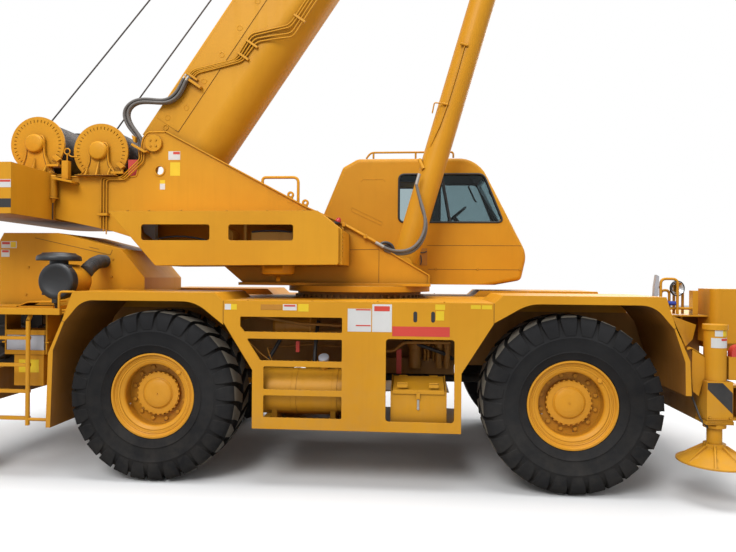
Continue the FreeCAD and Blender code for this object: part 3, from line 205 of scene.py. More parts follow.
# Painted shade: ambient occlusion darkens creases, and faces that look down are darkened too, standing in for shadow.
crease = node(weather_and_shade, "ShaderNodeAmbientOcclusion", {"samples": 4}, Distance=0.16).outputs["AO"]
below = node(weather_and_shade, "ShaderNodeSeparateXYZ", _0=facing).outputs["Z"]
painted_shade = math_node(weather_and_shade, "MAXIMUM", spread(weather_and_shade, crease, 0.85, 0.25), spread(weather_and_shade, below, -0.55, -0.95))
for label, value in (("Tone", slow), ("Worn", worn), ("Dust", dust), ("Streak", spread(weather_and_shade, runs, 0.5, 0.78)),
                     ("Grain", fine), ("Grime", painted_shade), ("Rounded", rounded)):
    weather_and_shade.links.new(value, result.inputs[label])
print("weather group", len(weather_and_shade.nodes), "nodes")

# %% [markdown]
# ## Finishes
# Each finish is one Principled shader. The yellow is a thick machine enamel: a strong base colour, a little orange peel
# from the spray gun, slightly faded and streaked where rain runs, and dusty near the ground; painted shade darkens its
# creases and undersides. Each row gives a colour, its darker tone, the roughness where it is clean and streaked, and
# how much of each effect it takes. Values that are the same all over the surface are set on the shader itself, so that
# they survive the export.

# %% A maker for weathered finishes
DUST = (0.30, 0.25, 0.19, 1)
materials = {}


def finish(name, colour, dark=None, roughness=(0.35, 0.5), metallic=0.0, wear=0.0, bare=(0.12, 0.08, 0.05, 1),
           dust=0.5, streak=0.25, grain=0.05, edge=0.006, painted_shade=0.0, **fixed):
    made = bpy.data.materials.new(name)
    made.use_nodes = True
    tree = made.node_tree
    shader = tree.nodes["Principled BSDF"]
    effect = tree.nodes.new("ShaderNodeGroup")
    effect.node_tree = weather_and_shade
    effect.inputs["Wear"].default_value = wear
    effect.inputs["Edge"].default_value = edge
    dark = dark or tuple(c * 0.80 for c in colour[:3]) + (1,)
    shade = mix_colour(tree, spread(tree, effect.outputs["Tone"], 0.35, 0.68), dark, colour)
    if streak:
        stained = tuple(c * 0.62 for c in colour[:3]) + (1,)
        shade = mix_colour(tree, math_node(tree, "MULTIPLY", effect.outputs["Streak"], streak), shade, stained)
    if dust:
        shade = mix_colour(tree, math_node(tree, "MULTIPLY", effect.outputs["Dust"], dust), shade, DUST)
    # Painted shade: creases and faces that look down are mixed towards a darker colour, standing in for shadow.
    if painted_shade:
        painted_shade_colour = (colour[0] * 0.27 + 0.010, colour[1] * 0.23 + 0.008, colour[2] * 0.20 + 0.005, 1)
        shade = mix_colour(tree, math_node(tree, "MULTIPLY", effect.outputs["Grime"], painted_shade), shade, painted_shade_colour)
    if wear:
        shade = mix_colour(tree, effect.outputs["Worn"], shade, bare)
    tree.links.new(shade, shader.inputs["Base Color"])
    tree.links.new(spread(tree, effect.outputs["Streak"], 0.0, 1.0, *roughness), shader.inputs["Roughness"])
    bump = node(tree, "ShaderNodeBump", Height=effect.outputs["Grain"], Strength=grain, Distance=0.002,
                Normal=effect.outputs["Rounded"])
    tree.links.new(bump.outputs[0], shader.inputs["Normal"])
    shader.inputs["Metallic"].default_value = metallic
    for key, value in fixed.items():
        shader.inputs[key.replace("_", " ")].default_value = value
    materials[name] = made
    return made


# %% The crane's finishes
YELLOW = (0.690, 0.322, 0.016, 1)
finish("yellow_enamel", YELLOW, (0.615, 0.272, 0.013, 1), (0.44, 0.60), wear=0.5, dust=0.2, streak=0.16, edge=0.007,
       painted_shade=0.75, Specular_IOR_Level=0.20)
finish("rim_enamel", (0.80, 0.350, 0.018, 1), roughness=(0.45, 0.6), wear=0.3, dust=0.10, streak=0.1, edge=0.004,
       painted_shade=0.7,
       Specular_IOR_Level=0.3)
# A darker copy of the yellow, with more dust and streaks: painted shade for parts under the deck and behind the panels.
finish("under_paint", (0.40, 0.175, 0.020, 1), roughness=(0.6, 0.8), wear=0.5, dust=0.4, streak=0.6, painted_shade=0.6)
# A darker copy of the yellow: painted shade for recesses and for parts behind the panels.
finish("shaded_enamel", (0.53, 0.225, 0.014, 1), roughness=(0.45, 0.6), dust=0.1, streak=0.1)
finish("tyre_rubber", (0.019, 0.019, 0.020, 1), (0.006, 0.006, 0.007, 1), (0.78, 0.92), dust=0.07, streak=0.0,
       grain=0.4, edge=0.010, painted_shade=0.5, Specular_IOR_Level=0.2)
finish("tread_dust", (0.17, 0.150, 0.115, 1), (0.085, 0.078, 0.065, 1), (0.85, 0.95), dust=0.2, streak=0.0, grain=0.4)
finish("hose_rubber", (0.045, 0.045, 0.047, 1), roughness=(0.5, 0.65), dust=0.1, streak=0.0, grain=0.3, edge=0.002)
finish("faded_hose", (0.150, 0.135, 0.122, 1), roughness=(0.6, 0.75), dust=0.1, streak=0.0, grain=0.1, edge=0.002)
finish("black_plastic", (0.015, 0.016, 0.018, 1), roughness=(0.42, 0.6), dust=0.15, streak=0.1, grain=0.3)
finish("black_iron", (0.030, 0.028, 0.026, 1), roughness=(0.55, 0.75), dust=0.5, streak=0.2, wear=0.4,
       bare=(0.22, 0.12, 0.07, 1))
finish("bright_steel", (0.55, 0.54, 0.52, 1), roughness=(0.28, 0.42), metallic=1.0, dust=0.2, streak=0.2, edge=0.002)
finish("chrome_rod", (0.75, 0.75, 0.76, 1), roughness=(0.10, 0.18), metallic=1.0, dust=0.0, streak=0.0, edge=0.002)
finish("wire_rope", (0.10, 0.09, 0.085, 1), roughness=(0.5, 0.62), metallic=0.8, dust=0.0, streak=0.0, grain=0.8)
finish("white_plate", (0.74, 0.73, 0.71, 1), roughness=(0.4, 0.5), dust=0.2, streak=0.1, grain=0.0, edge=0.0005)
finish("label_yellow", (0.88, 0.60, 0.010, 1), roughness=(0.5, 0.6), dust=0.05, streak=0.1, grain=0.0, edge=0.0005)
finish("label_red", (0.66, 0.055, 0.035, 1), roughness=(0.5, 0.6), dust=0.05, streak=0.1, grain=0.0, edge=0.0005)
finish("label_black", (0.020, 0.020, 0.022, 1), roughness=(0.4, 0.5), dust=0.2, streak=0.1, grain=0.0, edge=0.0005)
finish("red_lens", (0.55, 0.02, 0.02, 1), roughness=(0.12, 0.2), dust=0.0, streak=0.0, grain=0.0, edge=0.002)
finish("case_grey", (0.50, 0.52, 0.57, 1), roughness=(0.4, 0.55), dust=0.3, streak=0.3, grain=0.2)
finish("seat_cloth", (0.028, 0.030, 0.034, 1), roughness=(0.85, 0.95), dust=0.1, streak=0.0, grain=0.9, edge=0.01)
finish("cab_lining", (0.11, 0.115, 0.12, 1), roughness=(0.7, 0.85), dust=0.0, streak=0.0, grain=0.5)
finish("seam_shade", (0.13, 0.055, 0.010, 1), roughness=(0.7, 0.85), dust=0.3, streak=0.0, grain=0.0, edge=0.0005)
finish("duct_grey", (0.46, 0.55, 0.62, 1), roughness=(0.5, 0.65), dust=0.0, streak=0.1, grain=0.1)
finish("faded_steel", (0.40, 0.38, 0.35, 1), roughness=(0.45, 0.6), metallic=0.4, dust=0.2, streak=0.1, edge=0.002)
# Painted shade inside the fenders, on the faces turned to the wheel.
finish("wheel_well", (0.42, 0.165, 0.016, 1), (0.30, 0.115, 0.012, 1), (0.6, 0.8), dust=0.15, streak=0.3, painted_shade=0.9)
# A brighter copy of the yellow: painted light inside the shaded slot under the valve cover.
finish("slot_paint", (0.80, 0.40, 0.05, 1), roughness=(0.5, 0.65), dust=0.1, streak=0.5)
finish("blue_cover", (0.03, 0.06, 0.42, 1), roughness=(0.35, 0.5), dust=0.2, streak=0.0, grain=0.2)

glass = bpy.data.materials.new("tinted_glass")
glass.use_nodes = True
pane = glass.node_tree.nodes["Principled BSDF"]
GLASS = {"Base Color": (0.34, 0.43, 0.45, 1), "Roughness": 0.02, "Transmission Weight": 1.0, "IOR": 1.02,
         "Coat Weight": 0.35}
for key, value in GLASS.items():
    pane.inputs[key].default_value = value
materials["tinted_glass"] = glass
print("finishes", len(materials))

# %% [markdown]
# ## Dressing the solids
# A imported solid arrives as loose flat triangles. A copy with its doubles merged can be shaded smooth across round
# faces and stay crisp at folds, so each node is replaced by such a copy in its own finish.

# %% Smooth a mesh between its folds
def soften(mesh, degrees=28.0):
    for face in mesh.polygons:
        face.use_smooth = True
    mesh.set_sharp_from_angle(angle=math.radians(degrees))


def own(mesh, name, body, material, stands_for=(), slot=None):
    piece = bpy.data.objects.new(name, mesh)
    bpy.context.scene.collection.objects.link(piece)
    if material:
        mesh.materials.clear()
        mesh.materials.append(materials[material])
    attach(piece, body)
    if stands_for:
        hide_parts(*stands_for)
    return piece


def weigh_normals(mesh, name):
    """Wide faces stay flat up to the small folds beside them."""
    holder = bpy.data.objects.new(name, mesh)
    bpy.context.scene.collection.objects.link(holder)
    weigher = holder.modifiers.new("weigher", "WEIGHTED_NORMAL")
    weigher.keep_sharp, weigher.weight = True, 100
    made = bpy.data.meshes.new_from_object(holder.evaluated_get(bpy.context.evaluated_depsgraph_get()))
    holder.modifiers.clear()
    bpy.data.objects.remove(holder)
    return made


def dress(cad_node, material, degrees=28.0):
    source = frame["nodes"][cad_node]
    form = bmesh.new()
    form.from_mesh(source.data)
    bmesh.ops.remove_doubles(form, verts=form.verts, dist=2e-5)
    bmesh.ops.dissolve_limit(form, angle_limit=math.radians(0.5), verts=form.verts, edges=form.edges)
    mesh = bpy.data.meshes.new(cad_node + "_skin")
    form.to_mesh(mesh)
    form.free()
    soften(mesh, degrees)
    mesh = weigh_normals(mesh, cad_node + "_flat")
    slot_name = next((part["material_slot"] for part in frame["record"]["subparts"] if part["node"] == cad_node),
                     None)
    return own(mesh, cad_node + "_skin", source["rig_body"], material, [cad_node], slot_name)


# %% Give every solid its finish
# Painted shade: axles, outrigger boxes, tie rods, chassis and knuckles take a darker copy of the yellow for their place
# under the deck.
FINISH_OF = {
    "powertrain": "black_iron", "muffler": "black_iron", "axles": "under_paint", "outrigger_boxes": "under_paint",
    "front_tie_rod": "under_paint", "rear_tie_rod": "under_paint", "lift_rod": "chrome_rod", "cab_seat": "seat_cloth",
    "lamps": "red_lens", "chassis": "under_paint", "head_sheaves": "black_iron",
}
SCREEN_BACK = 0.045


def on_screen(v):
    """Whether a corner belongs to the windscreen."""
    x = v.co.x - SHIFT
    return 0.53 < v.co.y < 1.28 and (x > 1.70 or x > 1.47 and v.co.z > 2.42)


skins = {}
for name in sorted(frame["nodes"]):
    if name.startswith(("tyre_", "rim_", "air_cleaner")):
        continue
    if name == "cab_glass":
        panes = frame["nodes"][name].data.copy()
        for v in filter(on_screen, panes.vertices):
            v.co.x -= SCREEN_BACK * max(0.0, min(1.0, (v.co.z - 2.40) / 0.75))
        skins[name] = own(panes, "cab_panes", "turret", "tinted_glass", ["cab_glass"], "window_glass")
        continue
    finish_name = FINISH_OF.get(name, "under_paint" if name.startswith("knuckle") else "yellow_enamel")
    skins[name] = dress(name, finish_name)
print("dressed", len(skins), "solids")

# %% [markdown]
# ## Shapes
# Small fittings are built from four shapes: a block, a plate cut to an outline, a turned piece and a bent tube. Many
# of one finish on one body are gathered in one mesh, which keeps the list of pieces short.

# %% A gatherer of small shapes
class Gather:
    def __init__(self):
        self.form = bmesh.new()

    def block(self, one, other):
        """A block between two opposite corners."""
        for v in bmesh.ops.create_cube(self.form, size=1.0)["verts"]:
            v.co = [min(a, b) + (t + 0.5) * abs(b - a) for a, b, t in zip(one, other, v.co)]
        return self

    def prism(self, points, push):
        base = [self.form.verts.new(p) for p in points]
        top = [self.form.verts.new(p + push) for p in points]
        self.form.faces.new(base)
        self.form.faces.new(list(reversed(top)))
        for i in range(len(points)):
            j = (i + 1) % len(points)
            self.form.faces.new((base[j], base[i], top[i], top[j]))
        return self

    def turned(self, centre, axis, profile, sides=32):
        axis = axis.normalized()
        first = axis.orthogonal().normalized()
        second = axis.cross(first)
        rings = []
        for radius, along in profile:
            middle = centre + axis * along
            if radius < 1e-6:
                rings.append([self.form.verts.new(middle)])
                continue
            rings.append([self.form.verts.new(middle + (first * math.cos(a) + second * math.sin(a)) * radius)
                          for a in (2 * math.pi * i / sides for i in range(sides))])
        for one, two in zip(rings, rings[1:]):
            for i in range(sides):
                j = (i + 1) % sides
                corners = [one[i % len(one)], one[j % len(one)], two[j % len(two)], two[i % len(two)]]
                unique = list(dict.fromkeys(corners))
                if len(unique) > 2:
                    self.form.faces.new(unique)
        return self

    def bar(self, start, end, radius, sides=16):
        length = (end - start).length
        return self.turned(start, end - start, [(0, 0), (radius, 0), (radius, length), (0, length)], sides)

    def done(self, name, body, material, degrees=35.0, **more):
        bmesh.ops.recalc_face_normals(self.form, faces=self.form.faces)
        mesh = bpy.data.meshes.new(name)
        self.form.to_mesh(mesh)
        self.form.free()
        soften(mesh, degrees)
        return own(mesh, name, body, material, **more)


def rounded_path(points, radius, steps=5):
    path = [points[0]]
    for before, corner, after in zip(points, points[1:], points[2:]):
        a, b = (before - corner), (after - corner)
        reach = min(radius, a.length * 0.49, b.length * 0.49)
        start, end = corner + a.normalized() * reach, corner + b.normalized() * reach
        for i in range(steps + 1):
            t = i / steps
            path.append(start * (1 - t) ** 2 + corner * 2 * t * (1 - t) + end * t ** 2)
    path.append(points[-1])
    return path


def bent(points, steps=6):
    """Points along a clamped cubic spline, so that a hose can be parted where it passes from one body to the next."""
    knots = [0] * 4 + list(range(1, len(points) - 3)) + [len(points) - 3] * 4
    path = []
    for i in range(steps * (len(points) - 3) + 1):
        u = min(i / steps, knots[-1] - 1e-6)
        span = 3 + int(u)
        near = list(points[span - 3:span + 1])
        for level in range(1, 4):
            for j in range(3, level - 1, -1):
                low, high = knots[span - 3 + j], knots[span + 1 + j - level]
                near[j] = near[j - 1].lerp(near[j], (u - low) / (high - low))
        path.append(near[3])
    return path


def parted(path, test):
    """The path up to the first point that passes the test, and the path from there."""
    cut = next(i for i, p in enumerate(path) if test(p))
    return path[:cut + 1], path[cut:]


def tube(paths, name, body, material, radius, bend=0.04, sides=3, smooth=False):
    """Round bars or hoses along point lists, as one mesh with closed ends."""
    curve = bpy.data.curves.new(name, "CURVE")
    curve.dimensions = "3D"
    curve.bevel_depth, curve.bevel_resolution, curve.use_fill_caps = radius, sides, True
    for points in paths:
        if smooth:
            line = curve.splines.new("NURBS")
            line.points.add(len(points) - 1)
            for spot, p in zip(line.points, points):
                spot.co = (*p, 1)
            line.order_u, line.use_endpoint_u, line.resolution_u = 4, True, 8
        else:
            points = rounded_path(points, bend) if bend else points
            line = curve.splines.new("POLY")
            line.points.add(len(points) - 1)
            for spot, p in zip(line.points, points):
                spot.co = (*p, 1)
    holder = bpy.data.objects.new(name, curve)
    bpy.context.scene.collection.objects.link(holder)
    mesh = bpy.data.meshes.new_from_object(holder.evaluated_get(bpy.context.evaluated_depsgraph_get()))
    bpy.data.objects.remove(holder)
    soften(mesh, 40.0)
    return own(mesh, name, body, material)


# %% [markdown]
# ## Wheels
# The solids hold the tyres' size and lugs; close up, a tyre needs round flanks, lugs that wrap over the shoulder and
# dust on the tread. Both tyre and rim are turned from a profile with many more steps, and stand for their nodes.

# %% A wheel's turned pieces
LUG_COUNT, TYRE_STEPS, RIM_STEPS = 28, 132, 96


def ring_mesh(profile, steps):
    form = bmesh.new()
    rings = []
    for radius, across in profile:
        if radius < 1e-6:
            rings.append([form.verts.new((0, across, 0))])
        else:
            rings.append([form.verts.new((radius * math.sin(a), across, radius * math.cos(a)))
                          for a in (2 * math.pi * i / steps for i in range(steps))])
    for one, two in zip(rings, rings[1:] + rings[:1]):
        for i in range(steps):
            j = (i + 1) % steps
            corners = [one[i % len(one)], one[j % len(one)], two[j % len(two)], two[i % len(two)]]
            corners = list(dict.fromkeys(corners))
            if len(corners) > 2:
                form.faces.new(corners)
    return form


FLANK = [(0.404, 0.232), (0.406, 0.250), (0.425, 0.262), (0.470, 0.279), (0.478, 0.288), (0.486, 0.281),
         (0.540, 0.290),
         (0.600, 0.2920), (0.606, 0.2955), (0.612, 0.2920), (0.655, 0.286), (0.700, 0.274), (0.735, 0.256),
         (0.757, 0.228),
         (0.764, 0.150), (0.765, 0.060)]
LUG_LINE = [  # across, top radius, inner across, inner radius, lean, half width at the top, half width at the foot
    (0.016, 0.7995, 0.016, 0.745, 0.052, 0.041, 0.050), (0.110, 0.7995, 0.110, 0.745, 0.012, 0.050, 0.058),
    (0.205, 0.7975, 0.200, 0.740, -0.028, 0.063, 0.071), (0.245, 0.7890, 0.232, 0.735, -0.042, 0.071, 0.077),
    (0.2710, 0.7690, 0.250, 0.725, -0.047, 0.073, 0.079), (0.2850, 0.7390, 0.262, 0.705, -0.048, 0.072, 0.078),
    (0.2915, 0.7000, 0.272, 0.680, -0.047, 0.068, 0.076), (0.2950, 0.6550, 0.280, 0.650, -0.045, 0.060, 0.070),
    (0.2930, 0.6280, 0.285, 0.626, -0.043, 0.050, 0.060)]


def lugs_on(form, side):
    for number in range(LUG_COUNT):
        turn = 2 * math.pi * (number + (0.5 if side < 0 else 0)) / LUG_COUNT
        rows = []
        for across, top, inner_across, inner, lean, half_top, half_foot in LUG_LINE:
            row = []
            for y, r, offset in ((inner_across, inner, lean - half_foot), (across, top, lean - half_top),
                                 (across, top, lean + half_top), (inner_across, inner, lean + half_foot)):
                angle = turn + offset / AXLE_Z
                row.append(form.verts.new((r * math.sin(angle), side * y, r * math.cos(angle))))
            rows.append(row)
        for step, (one, two) in enumerate(zip(rows, rows[1:])):
            for k in range(3):
                face = form.faces.new((one[k], one[k + 1], two[k + 1], two[k]))
                face.material_index = 1 if k == 1 and step < 3 else 0
        form.faces.new(rows[0])
        form.faces.new(list(reversed(rows[-1])))


def tyre_mesh():
    outline = FLANK + [(r, -y) for r, y in reversed(FLANK)]
    form = ring_mesh(outline, TYRE_STEPS)
    for side in (-1, 1):
        lugs_on(form, side)
    bmesh.ops.recalc_face_normals(form, faces=form.faces)
    return form


RIM = [(0.302, -0.245), (0.400, -0.245), (0.400, -0.233), (0.333, -0.225), (0.333, 0.215), (0.385, 0.224),
       (0.400, 0.230),
       (0.4015, 0.238), (0.400, 0.245), (0.384, 0.247), (0.378, 0.240), (0.373, 0.226), (0.362, 0.221),
       (0.356, 0.224),
       (0.350, 0.220), (0.345, 0.212), (0.332, 0.210), (0.324, 0.213), (0.316, 0.208), (0.300, 0.201), (0.291, 0.190),
       (0.288, 0.172), (0.293, 0.155), (0.298, 0.085), (0.293, 0.064), (0.212, 0.0605), (0.2050, 0.063),
       (0.2035, 0.101),
       (0.197, 0.110), (0.150, 0.1135), (0.1475, 0.1110), (0.1445, 0.1135), (0.138, 0.117), (0.134, 0.124),
       (0.126, 0.131),
       (0.060, 0.1335), (0.0, 0.1335), (0.0, 0.0255), (0.0601, 0.0255), (0.0601, -0.045), (0.150, -0.045),
       (0.150, 0.040),
       (0.302, 0.040)]


def set_wheel(form, place, name, body, finishes, stands_for, degrees):
    x, side = place
    mesh = bpy.data.meshes.new(name)
    form.to_mesh(mesh)
    mesh.transform(Matrix.Translation(at(x, side * HALF_TRACK, AXLE_Z)) @ Matrix.Diagonal((1, side, 1, 1)))
    if side < 0:
        mesh.flip_normals()
    soften(mesh, degrees)
    piece = own(mesh, name, body, None, [stands_for], "tyre_rubber" if "tyre" in name else "wheel_paint")
    for one in finishes:
        mesh.materials.append(materials[one])
    return piece


# %% Set the four wheels
tyre_form, rim_form = tyre_mesh(), ring_mesh(RIM, RIM_STEPS)
bmesh.ops.recalc_face_normals(rim_form, faces=rim_form.faces)
for corner, place in WHEEL_PLACES.items():
    body = f"wheel_{corner}"
    set_wheel(tyre_form, place, f"tread_{corner}", body, ["tyre_rubber", "tread_dust"], f"tyre_{corner}", 38)
    set_wheel(rim_form, place, f"dish_{corner}", body, ["rim_enamel"], f"rim_{corner}", 40)
tyre_form.free(), rim_form.free()
print("wheels set")

# %% [markdown]
# ## Repeats
# Bolts, teeth and wound rope repeat by rule, so each comes from a short Geometry Nodes recipe. A bolt stands on every
# seed point and looks along that point's facing; marks stand round a ring; rope winds in a spiral.

# %% Helpers for the recipes
def recipe(name, inputs):
    tree = bpy.data.node_groups.new(name, "GeometryNodeTree")
    ends = [("Geometry", "NodeSocketGeometry", None)], [("Material", "NodeSocketMaterial", None)]
    for label, kind, value in ends[0] + inputs + ends[1]:
        socket = tree.interface.new_socket(label, in_out="INPUT", socket_type=kind)
        if value is not None:
            socket.default_value = value
    tree.interface.new_socket("Geometry", in_out="OUTPUT", socket_type="NodeSocketGeometry")
    return tree, tree.nodes.new("NodeGroupInput").outputs


def close_recipe(tree, feed, geometry):
    real = node(tree, "GeometryNodeRealizeInstances", Geometry=geometry).outputs[0]
    painted = node(tree, "GeometryNodeSetMaterial", Geometry=real, Material=feed["Material"]).outputs[0]
    tree.links.new(painted, tree.nodes.new("NodeGroupOutput").inputs[0])


def set_along(tree, feed, geometry):
    turn = node(tree, "FunctionNodeAlignRotationToVector", {"axis": "Z"}, Vector=feed["Axis"]).outputs[0]
    return node(tree, "GeometryNodeTransform", Geometry=geometry, Rotation=turn,
                Translation=feed["Centre"]).outputs[0]


AXIS = [("Centre", "NodeSocketVector", (0, 0, 0)), ("Axis", "NodeSocketVector", (0, 0, 1))]

# %% Bolts on points
bolt_recipe, feed = recipe("bolts_on_points", [("Radius", "NodeSocketFloat", 0.012), ("Seed", "NodeSocketInt", 7)])
head_height = math_node(bolt_recipe, "MULTIPLY", feed["Radius"], 0.75)
head = node(bolt_recipe, "GeometryNodeMeshCylinder", Vertices=6, Radius=feed["Radius"], Depth=head_height).outputs[0]
washer_radius = math_node(bolt_recipe, "MULTIPLY", feed["Radius"], 1.35)
washer_height = math_node(bolt_recipe, "MULTIPLY", feed["Radius"], 0.25)
washer = node(bolt_recipe, "GeometryNodeMeshCylinder", Vertices=14, Radius=washer_radius,
              Depth=washer_height).outputs[0]
lift = node(bolt_recipe, "ShaderNodeCombineXYZ", Z=math_node(bolt_recipe, "MULTIPLY", feed["Radius"],
                                                             0.45)).outputs[0]
raised_head = node(bolt_recipe, "GeometryNodeTransform", Geometry=head, Translation=lift).outputs[0]
joined = bolt_recipe.nodes.new("GeometryNodeJoinGeometry")
bolt_recipe.links.new(raised_head, joined.inputs[0])
bolt_recipe.links.new(washer, joined.inputs[0])
facing = node(bolt_recipe, "GeometryNodeInputNamedAttribute", {"data_type": "FLOAT_VECTOR"}, Name="facing").outputs[0]
aimed = node(bolt_recipe, "FunctionNodeAlignRotationToVector", {"axis": "Z"}, Vector=facing).outputs[0]
angle = node(bolt_recipe, "FunctionNodeRandomValue", {"data_type": "FLOAT"}, Seed=feed["Seed"])
angle.inputs[3].default_value = 1.05
spin = node(bolt_recipe, "FunctionNodeAxisAngleToRotation", Axis=(0, 0, 1), Angle=angle.outputs[1]).outputs[0]
turned_bolt = node(bolt_recipe, "FunctionNodeRotateRotation", {"rotation_space": "LOCAL"}, Rotation=aimed,
                   Rotate_By=spin).outputs[0]
on_points = node(bolt_recipe, "GeometryNodeInstanceOnPoints", Points=feed["Geometry"], Instance=joined.outputs[0],
                 Rotation=turned_bolt).outputs[0]
close_recipe(bolt_recipe, feed, on_points)

# %% Marks round a ring, and rope wound in a spiral
ring_recipe, feed = recipe("ring_of_marks", [("Count", "NodeSocketInt", 24), ("Radius", "NodeSocketFloat", 0.2),
                                             ("Size", "NodeSocketVector", (0.02, 0.02, 0.04))] + AXIS)
circle = node(ring_recipe, "GeometryNodeMeshCircle", Vertices=feed["Count"], Radius=feed["Radius"]).outputs[0]
mark = node(ring_recipe, "GeometryNodeMeshCube", Size=feed["Size"]).outputs["Mesh"]
spot = ring_recipe.nodes.new("GeometryNodeInputPosition").outputs[0]
outward = node(ring_recipe, "FunctionNodeAlignRotationToVector", {"axis": "X", "pivot_axis": "Z"},
               Vector=spot).outputs[0]
marks = node(ring_recipe, "GeometryNodeInstanceOnPoints", Points=circle, Instance=mark, Rotation=outward).outputs[0]
close_recipe(ring_recipe, feed, set_along(ring_recipe, feed, marks))

rope_recipe, feed = recipe("wound_rope", [("Turns", "NodeSocketFloat", 20.0), ("Radius", "NodeSocketFloat", 0.25),
                                          ("Rope Radius", "NodeSocketFloat", 0.011),
                                          ("Width", "NodeSocketFloat", 0.6)] + AXIS)
spiral = node(rope_recipe, "GeometryNodeCurveSpiral", Resolution=40, Rotations=feed["Turns"],
              Start_Radius=feed["Radius"],
              End_Radius=feed["Radius"], Height=feed["Width"]).outputs[0]
strand = node(rope_recipe, "GeometryNodeCurvePrimitiveCircle", Resolution=7,
              Radius=feed["Rope Radius"]).outputs["Curve"]
wound = node(rope_recipe, "GeometryNodeCurveToMesh", Curve=spiral, Profile_Curve=strand).outputs[0]
close_recipe(rope_recipe, feed, set_along(rope_recipe, feed, wound))


# %% Run a recipe
def grow(tree, name, body, material, seeds=(), degrees=35.0, **values):
    mesh = bpy.data.meshes.new(name + "_seeds")
    mesh.from_pydata([tuple(place) for place, _ in seeds], [], [])
    if seeds:
        looks = mesh.attributes.new("facing", "FLOAT_VECTOR", "POINT")
        for item, (_, direction) in zip(looks.data, seeds):
            item.vector = direction
    holder = bpy.data.objects.new(name + "_seeds", mesh)
    bpy.context.scene.collection.objects.link(holder)
    growth = holder.modifiers.new("growth", "NODES")
    growth.node_group = tree
    values["Material"] = materials[material]
    for item in tree.interface.items_tree:
        key = item.name.replace(" ", "_")
        if item.in_out == "INPUT" and key in values:
            growth[item.identifier] = values[key]
    made = bpy.data.meshes.new_from_object(holder.evaluated_get(bpy.context.evaluated_depsgraph_get()))
    holder.modifiers.clear()
    bpy.data.objects.remove(holder)
    soften(made, degrees)
    return own(made, name, body, None)


def bolts(name, body, seeds, radius=0.012, material="yellow_enamel", seed=7):
    return grow(bolt_recipe, name, body, material, seeds, Radius=radius, Seed=seed)


def ring_marks(name, body, centre, axis, count, radius, size, material="yellow_enamel"):
    return grow(ring_recipe, name, body, material, Centre=tuple(centre), Axis=tuple(axis), Count=count, Radius=radius,
                Size=size)


# %% [markdown]
# ## Wheel fittings
# Each hub has teeth round its drum, bolts on the disc, a lock on the rim's ring and a valve. All are placed from the
# wheel's own middle, so that one loop serves the four wheels and each set spins with its wheel.

# %% Teeth, bolts, locks and valves
for corner, (x, side) in WHEEL_PLACES.items():
    body, out, hub = f"wheel_{corner}", Vector((0, side, 0)), at(x, side * HALF_TRACK, AXLE_Z)
    ring_marks(f"hub_teeth_{corner}", body, hub + out * 0.0865, out, 28, 0.2020, (0.013, 0.022, 0.042), "rim_enamel")

    def around(radius, across, turn):
        return hub + out * across + Vector((math.cos(turn), 0, math.sin(turn))) * radius

    seeds = [(around(0.252, 0.0615, 2 * math.pi * (i + 0.5) / 12), out) for i in range(12)]
    bolts(f"disc_bolts_{corner}", body, seeds, 0.020, "rim_enamel")
    bits = Gather()
    for turn, radius, across, size in ((0.75, 0.330, 0.2125, 0.024), (0.0, 0.0, 0.1335, 0.006)):
        stud = [(0, -0.004), (size, -0.004), (size, 0.008), (size * 0.8, 0.012), (0, 0.012)]
        bits.turned(around(radius, across, turn), out, stud, 20)
    bits.done(f"rim_lock_{corner}", body, "rim_enamel")
    # Painted shade: black discs stand for the dark inside of the disc's holes.
    hole_shades = Gather()
    for turn in (0.20, 1.85, 3.35, 4.90):
        hole_shades.turned(around(0.272, 0.0622, turn), out, [(0, 0.0015), (0.008, 0.0015), (0.008, 0)], 16)
    hole_shades.done(f"disc_holes_{corner}", body, "label_black")
    stem = [around(radius, across, 3.5) for radius, across in ((0.293, 0.10), (0.278, 0.13), (0.268, 0.165))]
    tube([stem], f"valve_{corner}", body, "bright_steel", 0.005, 0.02)
print("wheel fittings set")

# %% [markdown]
# ## Signs, stripes and painted shade for slot openings
# The signs are blank: only their plates and coloured fields are made. All plates of one colour on one body share a
# mesh, read from a table of corners measured on the photograph.

